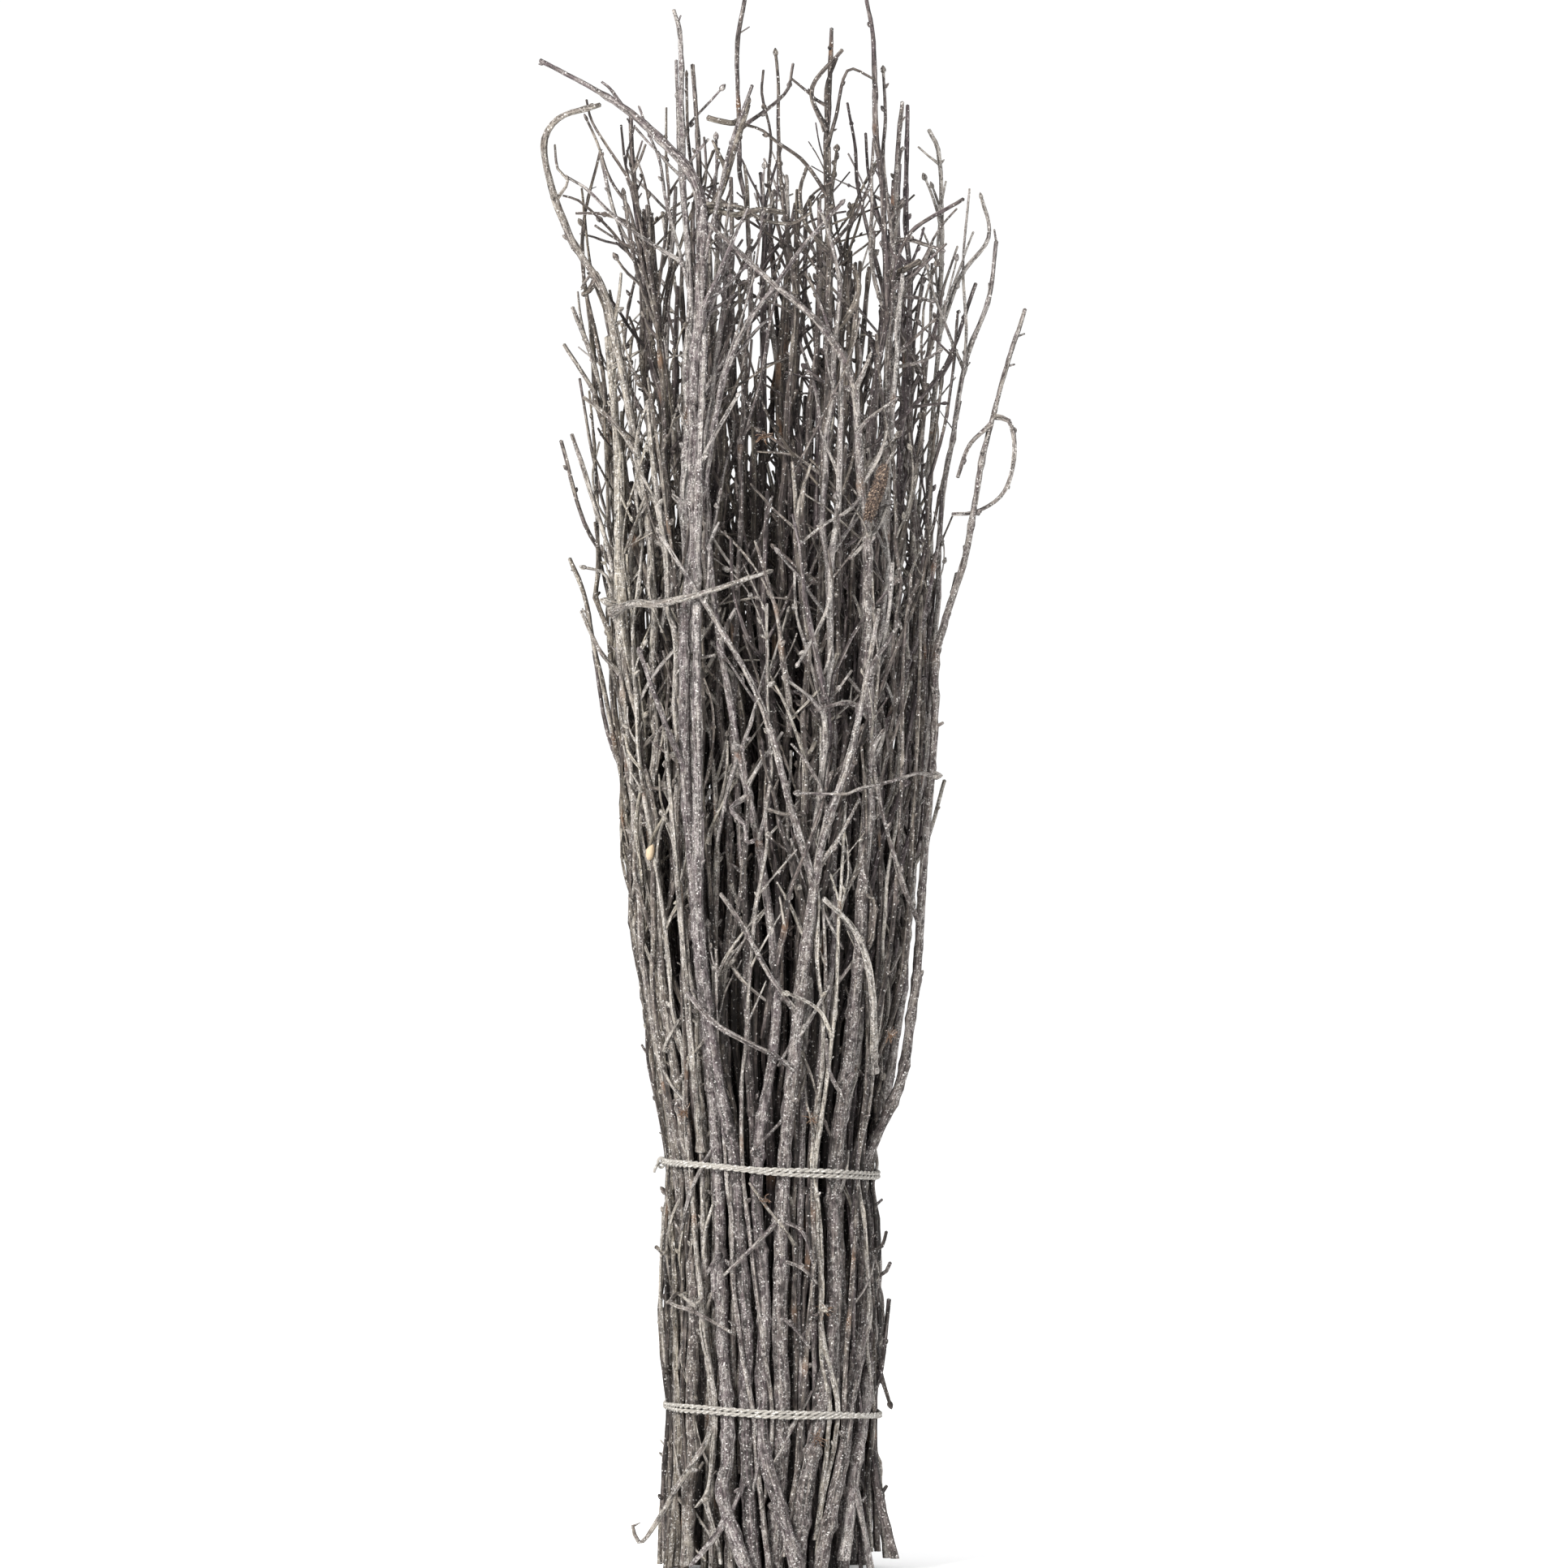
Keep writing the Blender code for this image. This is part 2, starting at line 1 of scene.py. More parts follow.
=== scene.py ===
"""The looks of a bundle of cut, frosted twigs, tied twice with twine.

Every twig that is a solid in the frame is dressed along its own route, which the first
part of this script works out by the solids' rule. The fluted solid in the middle gives
way to the thin twigs that it stands for, and more thin twigs fill the gaps between.
"""

import math
import random

import bpy
import numpy as np
from mathutils import Matrix, Vector


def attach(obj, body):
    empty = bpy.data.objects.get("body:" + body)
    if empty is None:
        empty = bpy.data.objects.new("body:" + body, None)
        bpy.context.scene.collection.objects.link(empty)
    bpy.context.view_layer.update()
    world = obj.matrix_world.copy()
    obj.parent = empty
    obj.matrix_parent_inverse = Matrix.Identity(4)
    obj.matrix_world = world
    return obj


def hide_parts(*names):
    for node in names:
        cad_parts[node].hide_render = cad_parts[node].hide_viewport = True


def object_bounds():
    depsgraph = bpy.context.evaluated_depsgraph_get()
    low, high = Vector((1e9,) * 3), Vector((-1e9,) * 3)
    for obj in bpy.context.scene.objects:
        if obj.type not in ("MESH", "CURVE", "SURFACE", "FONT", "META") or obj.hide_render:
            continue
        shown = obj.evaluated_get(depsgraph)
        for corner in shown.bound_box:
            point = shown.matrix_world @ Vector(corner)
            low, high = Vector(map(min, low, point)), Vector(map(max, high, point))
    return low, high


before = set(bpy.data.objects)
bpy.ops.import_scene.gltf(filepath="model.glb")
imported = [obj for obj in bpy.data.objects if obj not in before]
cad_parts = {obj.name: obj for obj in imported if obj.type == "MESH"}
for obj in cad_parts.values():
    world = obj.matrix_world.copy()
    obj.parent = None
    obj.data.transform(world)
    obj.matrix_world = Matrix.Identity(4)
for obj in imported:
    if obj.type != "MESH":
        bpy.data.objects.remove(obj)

CAD_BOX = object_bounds()

# Routes, radii and heights are in millimetres, and MM turns them into the scene's metres.
MM = 0.001
UP = Vector((0, 0, 1))
GOLDEN_TURN = math.pi * (3 - math.sqrt(5))
LOWER_TIE = 62.0
UPPER_TIE = 154.0
TIE_RADIUS = 40.5

# The bundle's outline: height and radius, side shoots included.
OUTLINE = (
    (0, 42.5),
    (LOWER_TIE, TIE_RADIUS),
    (107, 42),
    (UPPER_TIE, TIE_RADIUS),
    (200, 48),
    (260, 55),
    (350, 64),
    (430, 71),
    (500, 78),
    (600, 80),
)

# Twig radii and the room kept between neighbours.
TIP_RADIUS = 0.9
SHOOT_TIP = 0.8
CLEARANCE = 0.45

# The ties: the twine's radius, the pitch of its two laps, its gap from the bark and the
# least distance between the points of its path.
TWINE_RADIUS = 0.85
TWINE_PITCH = 2.0
TIE_CLEARANCE = 0.6
TWINE_STEP = 4.0

# Each tie's height, its slope along X and the way its knot faces, in degrees.
TIES = {
    "tie_lower": (LOWER_TIE, -0.04, 80),
    "tie_upper": (UPPER_TIE, -0.062, 183),
}

# The fluted solid of the inner twigs: its share of the outline's radius, its heights and
# how much it draws in at the top.
INNER_SHARE = 0.58
INNER_HEIGHTS = (0, LOWER_TIE, UPPER_TIE, 205, 300, 330)
INNER_DRAWS_IN = 0.86

# Its prongs: where they start inside it, their bends and tops, how far the outermost
# stand from the middle at their roots and how much further 300 mm up, and their radius.
PRONGS = 13
PRONG_ROOT = 262.0
PRONG_BENDS = (345, 410)
PRONG_TOPS = (470, 585)
PRONG_REACH = 23.0
PRONG_FLARE = 17.0
PRONG_RADIUS = 2.9

# Feet stand at Z = 0 within this distance of the middle, and may lie higher further out.
LEVEL_FOOT = 24.0

# Twigs with a route of their own: base radius, tip radius and the points of the stem
# from its cut end to its tip, each x, y, z. SHOOTS holds the shoots on them.
ROUTES = {
    "twig_arched": (2.8, 1.5, [
        (-6, -38.5, 2), (-8, -38, 23), (-9.6, -36.5, 61), (-9.8, -36.5, 88), (-13, -36, 153),
        (-23, -44, 215), (-29, -49, 290), (-30, -54, 383), (-30, -56, 482), (-30, -55, 524),
        (-44, -50, 545), (-64, -43, 561), (-88, -35, 575),
    ]),
    "twig_hooked": (2.6, 1.0, [
        (-32, -31, 4), (-31, -30.5, 33), (-29, -29.5, 43), (-30, -27, 61), (-29, -27, 100),
        (-31, -23, 153), (-41, -24, 228), (-46, -30, 383), (-51, -31, 430), (-61, -32, 482),
        (-77, -33, 510), (-87, -33, 541), (-82, -34, 552), (-64, -36, 558),
    ]),
    "twig_looped": (2.8, 1.3, [
        (18.5, -38.5, 2), (20.8, -37.5, 14), (23.9, -35.5, 29), (26.7, -32.5, 43), (29, -29, 61),
        (33.2, -21.5, 85), (35, -17, 112), (35, -14.5, 153), (50, -17, 190), (58, -20, 243),
        (61, -20, 305), (63, -18, 355), (74, -16, 389), (84, -13, 442), (97, -10, 482),
    ]),
    "twig_sweeping": (3.4, 1.2, [
        (9.5, -39.5, 0), (11.5, -39, 24), (14.5, -37.5, 41), (18.2, -35, 61), (22, -32, 85),
        (24.5, -30.5, 115), (24, -30, 153), (33, -38, 215), (39, -43, 300), (37, -49, 383),
        (32, -55, 430), (22, -59, 467), (-2, -61, 491), (-24, -62, 512),
    ]),
    "twig_centre": (3.5, 1.6, [
        (1, -34.5, 0), (2.8, -35.3, 29), (4, -36.5, 61), (5, -36.5, 153), (10, -44, 201),
        (16, -49, 255), (20, -51, 280), (31, -55, 312), (41, -57, 367),
    ]),
    "twig_left_of_centre": (2.8, 1.1, [
        (11, -47, 0), (6.8, -45.5, 14), (2.9, -43.5, 29), (-1.6, -41, 43), (-3.2, -37.4, 61),
        (-2.4, -37.4, 104), (-5.2, -37.4, 153), (3, -46, 222), (-3, -50, 275), (-14, -51, 332),
        (-22, -51, 380), (-21, -50, 440), (-16, -47, 508),
    ]),
    "twig_outer_left": (2.0, 1.0, [
        (-38, -8, 7), (-37, -6, 61), (-38, -6, 153), (-48, -7, 228), (-53, -8, 281), (-67, -9, 348),
        (-71, -9, 371), (-77, -8, 387),
    ]),
    "twig_left_fork": (2.5, 1.1, [
        (-37, 4, 4), (-36, 3, 61), (-36, 4, 153), (-48, 4, 240), (-52, 3, 320), (-57, 1, 410),
        (-66, -1, 458), (-76, -2, 483),
    ]),
    "twig_left_bent": (2.3, 1.0, [
        (-36, -14, 7), (-35, -13, 61), (-35.5, -13, 153), (-46, -17, 220), (-53, -19, 300),
        (-59, -21, 383), (-69, -20, 414), (-76, -18, 434),
    ]),
    "twig_right_high": (2.7, 1.0, [
        (27.5, -32.5, 6), (30, -29.5, 26), (32, -27, 41), (35.2, -20.5, 61), (37.5, -12, 85),
        (38, -8, 115), (37, -5, 153), (48, -5, 205), (57, -7, 300), (63, -9, 385), (72, -10, 452),
        (83, -9, 487), (86, -8, 508),
    ]),
    "twig_right_slim": (2.3, 0.9, [
        (36, 12, 4), (35, 11, 61), (35, 10, 153), (49, 10, 215), (57, 9, 310), (63, 7, 410),
        (67, 5, 504), (64, 3, 542), (60, 3, 551),
    ]),
    "twig_tall_left": (2.7, 0.9, [
        (-9, -45, 2), (-12, -44, 11), (-16.4, -42, 23), (-19, -40, 34), (-16.6, -38, 44),
        (-16.4, -35.6, 61), (-19, -33, 100), (-20, -31, 153), (-25, -32, 240), (-29, -38, 336),
        (-31, -41, 430), (-32, -42, 507), (-34, -41, 584), (-37, -40, 594),
    ]),
    "twig_tall_middle": (2.2, 0.8, [
        (-6, -29, 0), (-6, -29, 61), (-6, -29, 153), (-9, -37, 240), (-12, -41, 336), (-12, -43, 430),
        (-11, -43, 520), (-13, -42, 578), (-9, -42, 602),
    ]),
    "twig_tall_right": (2.4, 1.2, [
        (17, -25, 0), (16.5, -24, 61), (16, -24, 153), (27, -30, 240), (35, -34, 336), (40, -35, 430),
        (41, -36, 520), (39, -36, 581), (36, -36, 599),
    ]),
    "twig_thick_right": (3.0, 1.7, [
        (27, -20, 2), (26, -19, 61), (26, -18, 153), (35, -22, 240), (42, -26, 336), (45, -27, 430),
        (47, -27, 519), (50, -26, 560),
    ]),
    "twig_forked_top": (2.7, 1.5, [
        (8, -29, 0), (7, -28, 61), (7, -28, 153), (13, -35, 240), (17, -40, 336), (19, -42, 430),
        (20, -42, 540), (23, -41, 587),
    ]),
    "twig_hooked_foot": (0.8, 1.9, [
        (-49.5, -27, 20), (-52.5, -27.5, 18.5), (-49.5, -29, 12.5), (-41.8, -34, 23), (-36, -36.5, 33),
        (-30.6, -37, 41), (-24, -34.5, 52), (-22.3, -32.5, 61), (-24.5, -29.5, 100), (-26.5, -29, 168),
    ]),
    "twig_splayed_foot": (1.8, 1.2, [
        (47, -22, 6), (41.5, -19, 29), (38.6, -14, 46), (38.6, -11, 61), (39.2, -4, 85),
        (38.5, -1, 115), (37, 2.5, 153), (47, 2, 236), (52, 0, 310), (54, -2, 380),
    ]),
}

# Shoots on the twigs above: root radius and points. The first lies inside the stem.
SHOOTS = {
    "twig_arched": [(1.2, [(-29, -50, 305), (-38, -59, 322), (-50, -66, 352)])],
    "twig_hooked": [(1.0, [(-50.6, -31, 426), (-60, -36, 438), (-71, -37, 447)])],
    "twig_looped": [
        (1.0, [
            (83.5, -13.2, 440), (90, -12, 438), (92, -11, 425), (88, -11, 411), (78, -14, 404),
            (69, -18, 403),
        ]),
        (0.9, [(83, -13.4, 437), (75, -17, 429), (71, -21, 417)]),
    ],
    "twig_centre": [(1.7, [
        (17, -49.6, 262), (9, -55, 288), (-4, -58, 332), (-22, -60, 364), (-43, -62, 396),
    ])],
    "twig_tall_left": [(1.8, [
        (-16.6, -41.9, 23.5), (-20, -42.5, 17.5), (-25, -42, 11), (-30.5, -40.5, 4.5),
    ])],
    "twig_hooked_foot": [(1.6, [(-26.4, -29, 161), (-30, -37, 200), (-34, -42, 248), (-40, -46, 320)])],
    "twig_left_fork": [(1.0, [(-63, -0.4, 443), (-70, -6, 455), (-79, -8, 468)])],
    "twig_left_bent": [(0.9, [(-56, -20, 343), (-64, -26, 351), (-72, -29, 366)])],
    "twig_right_high": [(0.9, [(60, -8, 345), (66, -2, 362), (71, 2, 381)])],
    "twig_right_slim": [(1.0, [(65.6, 5.7, 470), (74, 9, 495), (84, 10, 510), (80, 10, 527)])],
    "twig_tall_right": [(0.9, [(40.6, -35.5, 475), (50, -38, 507), (73, -38, 522)])],
    "twig_thick_right": [(1.1, [(46.4, -27, 490), (56, -30, 496), (61, -31, 504)])],
    "twig_forked_top": [(1.1, [(20, -42, 548), (15, -46, 563), (27, -45, 578)])],
    "twig_sweeping": [(1.0, [(38.2, -44.8, 325), (30, -55, 331), (17, -59, 328)])],
}

# Rings of the ruled twigs: shares of the outline's radius low down and high up, how many
# twigs there are at most, how many shoots each has, and the ranges of the stems' radii
# and of their tops' heights.
RINGS = (
    {"low": 1.0, "high": 0.87, "most": 22, "shoots": 2, "radii": (2.2, 3.3), "tops": (395, 560)},
    {"low": 0.77, "high": 0.70, "most": 17, "shoots": 1, "radii": (2.0, 3.0), "tops": (430, 585)},
    {"low": 0.92, "high": 0.80, "most": 3, "shoots": 1, "radii": (1.3, 1.8), "tops": (400, 540)},
)

# A ring is filled from the front on, stride by stride over its places, and a twig or a
# shoot is tried so often before its place stays empty.
PLACES = 40
PLACE_STRIDE = 13
FRONT = 1.5 * math.pi
TRIES = 30

# How a ruled stem strays from straight: heights where it may bend, its turn round the
# bundle and its change of share on the way up, its sway, and how its foot splays.
BENDS = (205, 290, 375, 455)
SWING = 0.30
SPREAD = (-0.10, 0.04)
SWAY = 7.0
FOOT_SPLAY = (0.96, 1.08)
FOOT_TURN = 0.11
RAISED_FEET = (0.0, 3.0, 5.0, 7.0)

# A ruled shoot: its length, how far it leans from upright and from straight outwards,
# and how much of the lean is left at its tip.
SHOOT_LENGTH = (38, 82)
SHOOT_LEAN = (24, 44)
SHOOT_TURN = 1.1
SHOOT_STRAIGHTENS = 0.45
SHOOT_THICKNESS = 0.62


def at_height(table, height):
    """What a table of heights and values gives at a height, or at each of many."""
    return np.interp(height, *zip(*table))


def outline(height):
    """The bundle's radius at this height."""
    return float(at_height(OUTLINE, height))


def radius_along(points, first, last):
    """Radii that fall evenly with the length along the points."""
    lengths = [0.0]
    for a, b in zip(points, points[1:]):
        lengths.append(lengths[-1] + (b - a).length)
    return [first + (last - first) * s / lengths[-1] for s in lengths]


def branch(points, first, last):
    """A tapered run of points: (points, radii)."""
    points = [Vector(p) for p in points]
    return points, radius_along(points, first, last)


def point_at(run, height):
    """The point and radius of a stem where it passes this height."""
    points, radii = run
    for a, b, ra, rb in zip(points, points[1:], radii, radii[1:]):
        if a.z <= height <= b.z:
            t = (height - a.z) / max(b.z - a.z, 1e-6)
            return a.lerp(b, t), ra + (rb - ra) * t
    return None


def routed_twig(name):
    """The stem and shoots of a twig that has a route of its own."""
    first, last, points = ROUTES[name]
    stem = branch(points, first, last)
    shoots = [branch(p, r, SHOOT_TIP) for r, p in SHOOTS.get(name, [])]
    return [stem, *shoots]


def ruled_stem(rng, ring, angle):
    """A stem that rises through both ties and then leans out with the outline."""
    base = rng.uniform(*ring["radii"])
    swing = rng.uniform(-SWING, SWING)
    spread = rng.uniform(*SPREAD)
    top = rng.uniform(*ring["tops"])
    lean = Vector((rng.uniform(-1, 1), rng.uniform(-1, 1), 0)) * SWAY
    across = abs(math.cos(angle)) * TIE_RADIUS * ring["low"]
    foot = 0.0 if across < LEVEL_FOOT else rng.choice(RAISED_FEET)
    levels = [foot, LOWER_TIE, UPPER_TIE, *(h for h in BENDS if h < top - 25), top]
    points = []
    for height in levels:
        rise = max(0.0, height - UPPER_TIE) / (OUTLINE[-1][0] - UPPER_TIE)
        change = (ring["high"] - ring["low"] + spread) * min(1.0, rise * 2)
        reach = (outline(height) - base) * (ring["low"] + change)
        turn = angle + swing * rise
        if height == foot:
            reach *= rng.uniform(*FOOT_SPLAY)
            turn += rng.uniform(-FOOT_TURN, FOOT_TURN)
        at = Vector((math.cos(turn) * reach, math.sin(turn) * reach, height))
        points.append(at + lean * rise)
    return branch(points, base, TIP_RADIUS + 0.25)


def ruled_shoot(rng, stem):
    """A shoot that leaves a stem outwards and bends up."""
    low, high = UPPER_TIE + 50, stem[0][-1].z - 30
    root, thickness = point_at(stem, rng.uniform(low, high))
    outward = math.atan2(root.y, root.x) + rng.uniform(-SHOOT_TURN, SHOOT_TURN)
    side = Vector((math.cos(outward), math.sin(outward), 0))
    half = rng.uniform(*SHOOT_LENGTH) / 2
    lean = math.radians(rng.uniform(*SHOOT_LEAN))
    points = [root]
    for tilt in (lean, lean * SHOOT_STRAIGHTENS):
        points.append(points[-1] + (side * math.sin(tilt) + UP * math.cos(tilt)) * half)
    return branch(points, thickness * SHOOT_THICKNESS, SHOOT_TIP)


def with_shoots(rng, stem, wanted, placed):
    """The stem and up to the wanted number of shoots that clear everything placed."""
    runs = [stem]
    for _ in range(TRIES):
        shoot = ruled_shoot(rng, stem)
        if is_clear([shoot], placed + [segments([r]) for r in runs[1:]]):
            runs.append(shoot)
        if len(runs) > wanted:
            break
    return runs


def segments(runs):
    """The runs' segments as arrays: starts, ends, start radii and end radii."""
    starts, ends, first, last = [], [], [], []
    for points, radii in runs:
        starts += points[:-1]
        ends += points[1:]
        first += radii[:-1]
        last += radii[1:]
    return tuple(np.array(a, float) for a in (starts, ends, first, last))


def narrowest_gap(one, other):
    """The least distance between the surfaces of two sets of tapered segments."""
    p, d1, ra, rb = one[0][:, None], (one[1] - one[0])[:, None], one[2][:, None], one[3][:, None]
    q, d2, sa, sb = other[0][None], (other[1] - other[0])[None], other[2][None], other[3][None]
    between = p - q
    a, e, f = (d1 * d1).sum(-1), (d2 * d2).sum(-1), (d2 * between).sum(-1)
    c, b = (d1 * between).sum(-1), (d1 * d2).sum(-1)
    s = np.clip((b * f - c * e) / np.maximum(a * e - b * b, 1e-9), 0, 1)
    t = np.clip((b * s + f) / e, 0, 1)
    s = np.clip((b * t - c) / a, 0, 1)
    apart = between + d1 * s[..., None] - d2 * t[..., None]
    distance = np.sqrt((apart * apart).sum(-1))
    return float((distance - (ra + (rb - ra) * s) - (sa + (sb - sa) * t)).min())


def is_clear(runs, placed):
    """True if the runs keep their clearance from everything placed."""
    mine = segments(runs)
    return all(narrowest_gap(mine, theirs) > CLEARANCE for theirs in placed)


def inner_column():
    """The fluted solid's middle line and radii, from its foot to its top."""
    radii = [outline(height) * INNER_SHARE for height in INNER_HEIGHTS]
    radii[-1] *= INNER_DRAWS_IN
    return [UP * height for height in INNER_HEIGHTS], radii


def inner_prongs():
    """The tops of the inner twigs, which rise out of the fluted solid."""
    rng = random.Random(11)
    prongs = []
    for i in range(PRONGS):
        share = math.sqrt((i + 0.5) / PRONGS)
        top = rng.uniform(*PRONG_TOPS) - 60 * share
        middle = (PRONG_BENDS[-1] + top) / 2
        points = []
        for height in (PRONG_ROOT, *PRONG_BENDS, middle, top):
            rise = (height - PRONG_ROOT) / 300
            reach = share * (PRONG_REACH + PRONG_FLARE * rise)
            angle = i * GOLDEN_TURN + rng.uniform(-0.05, 0.05) * rise
            points.append((math.cos(angle) * reach, math.sin(angle) * reach, height))
        prongs.append(branch(points, PRONG_RADIUS, TIP_RADIUS))
    return prongs


def all_twigs():
    """Every twig that is a solid of its own, as name: runs, none touching another."""
    placed = [segments([inner_column(), *inner_prongs()])]
    twigs = {}
    for name in ROUTES:
        twigs[name] = routed_twig(name)
        placed.append(segments(twigs[name]))
    rng = random.Random(1)
    for ring in RINGS:
        added = 0
        for place in range(PLACES):
            angle = FRONT + 2 * math.pi * (place * PLACE_STRIDE % PLACES) / PLACES
            tries = (ruled_stem(rng, ring, angle) for _ in range(TRIES))
            stem = next((t for t in tries if is_clear([t], placed)), None)
            if stem and added < ring["most"]:
                runs = with_shoots(rng, stem, ring["shoots"], placed)
                twigs[f"twig_{len(twigs) + 1:02d}"] = runs
                placed.append(segments(runs))
                added += 1
    return twigs


def hull(points):
    """The convex hull of 2D points, anticlockwise."""
    points = sorted(points)

    def half(ordered):
        chain = []
        for p in ordered:
            while len(chain) > 1 and turn_of(chain[-2], chain[-1], p) <= 0:
                chain.pop()
            chain.append(p)
        return chain[:-1]

    return half(points) + half(points[::-1])


def turn_of(a, b, c):
    """Positive where a, b, c turn left."""
    return (b[0] - a[0]) * (c[1] - a[1]) - (b[1] - a[1]) * (c[0] - a[0])


def twine_path(stems, height, slope, offset):
    """The closed line that twine takes round the stems, taut from one to the next."""
    around = []
    for stem in stems:
        crossing = point_at(stem, height)
        if crossing is None:
            continue
        centre, radius = crossing
        reach = radius + TWINE_RADIUS + TIE_CLEARANCE
        for eighth in range(16):
            turn = eighth * math.pi / 8
            around.append((centre.x + math.cos(turn) * reach, centre.y + math.sin(turn) * reach))
    path = []
    for x, y in hull(around):
        point = Vector((x, y, height + slope * x + offset))
        if not path or (point - path[-1]).length > TWINE_STEP:
            path.append(point)
    if (path[0] - path[-1]).length < TWINE_STEP:
        path.pop()
    return path


# The picture: its size in pixels, the real size of a pixel, the pixel of the bundle's
# middle and of the surface it stands on, and how far off the camera stands.
PICTURE_PX = 1932
PIXEL = 0.31
MIDDLE_PX = 950
GROUND_PX = 1935
CAMERA_DISTANCE = 4500.0

# The outline that fine shoots keep within, which closes in over the top.
SHOOT_OUTLINE = (
    (0, 44),
    (LOWER_TIE, 42),
    (107, 45),
    (UPPER_TIE, 42),
    (175, 45),
    (200, 49),
    (260, 55),
    (300, 59),
    (352, 64),
    (414, 71),
    (476, 78),
    (510, 80),
    (540, 64),
    (570, 50),
    (602, 42),
)

# Shoots seen in front that are too fine for the solids: root and tip radius and points.
FINE_SHOOTS = {
    "twig_centre": [
        (1.1, 1.2, [(9.5, -44, 192), (3, -48, 197), (-11, -51, 204), (-21, -52, 210), (-32, -51, 222)]),
        (1.2, 0.9, [(12, -45, 212), (6, -49, 220), (-1, -51, 230), (-10, -53, 246), (-19, -54, 259)]),
        (0.7, 0.5, [(7, -38.5, 176), (2.5, -41.5, 171), (-7.7, -42, 160.6)]),
    ],
    "twig_left_bent": [
        (1.9, 0.7, [
            (-58, -28, 366), (-50, -46, 369), (-41, -57, 368.5), (-32, -61, 370.5), (-20, -62, 374),
            (-8, -62, 378), (1, -60, 381),
        ]),
        (0.9, 0.6, [(-57.6, -20.7, 366), (-62, -27, 380), (-73, -30, 383)]),
        (0.9, 0.6, [(-35.5, -14, 107), (-38, -25, 103), (-28.5, -36, 100), (-13.6, -43, 92)]),
    ],
    "twig_arched": [
        (1.5, 0.8, [
            (-29.8, -55, 398), (-26, -58, 412), (-22, -58, 436), (-17, -57.5, 457), (-9, -57, 474),
            (2, -57, 489), (12, -57, 503), (28, -56, 521),
        ]),
        (1.0, 0.7, [
            (-30, -56, 478), (-27, -58, 500), (-22, -58, 518), (-16, -57, 541), (-7, -55, 564),
        ]),
        (0.8, 0.5, [(-58, -45.2, 557), (-61, -44, 563), (-64, -43, 566)]),
    ],
    "twig_sweeping": [
        (0.8, 0.5, [(35, -52, 409), (29, -58, 403), (20, -60, 398), (10, -60, 390)]),
        (0.8, 0.5, [(31, -56, 433), (36, -60, 438), (48, -60, 446)]),
        (0.8, 0.5, [(22.4, -30.6, 103), (19, -36, 101), (11, -39.5, 90)]),
    ],
    "twig_forked_top": [
        (0.9, 0.5, [(20, -42, 523), (11, -46, 536), (1.5, -48, 543), (-5, -49, 548), (-23, -49, 552)]),
        (0.9, 0.5, [(20.4, -42, 542), (24, -45, 553), (27, -45, 567), (30, -45, 571), (39, -43, 567)]),
    ],
    "twig_right_slim": [(0.8, 0.5, [(66.8, 5.2, 498), (66, 4, 512), (63, 3, 523), (58, 3, 534)])],
    "twig_right_high": [(0.8, 0.5, [(70, -10, 440), (74, -12, 470), (73, -14, 498), (75.6, -15, 527)])],
    "twig_outer_left": [
        (0.9, 0.8, [(-37.6, -6, 118), (-44, -8, 124)]),
        (0.7, 0.5, [(-50.5, -7.4, 252), (-56, -12, 270), (-57, -14, 283)]),
    ],
}

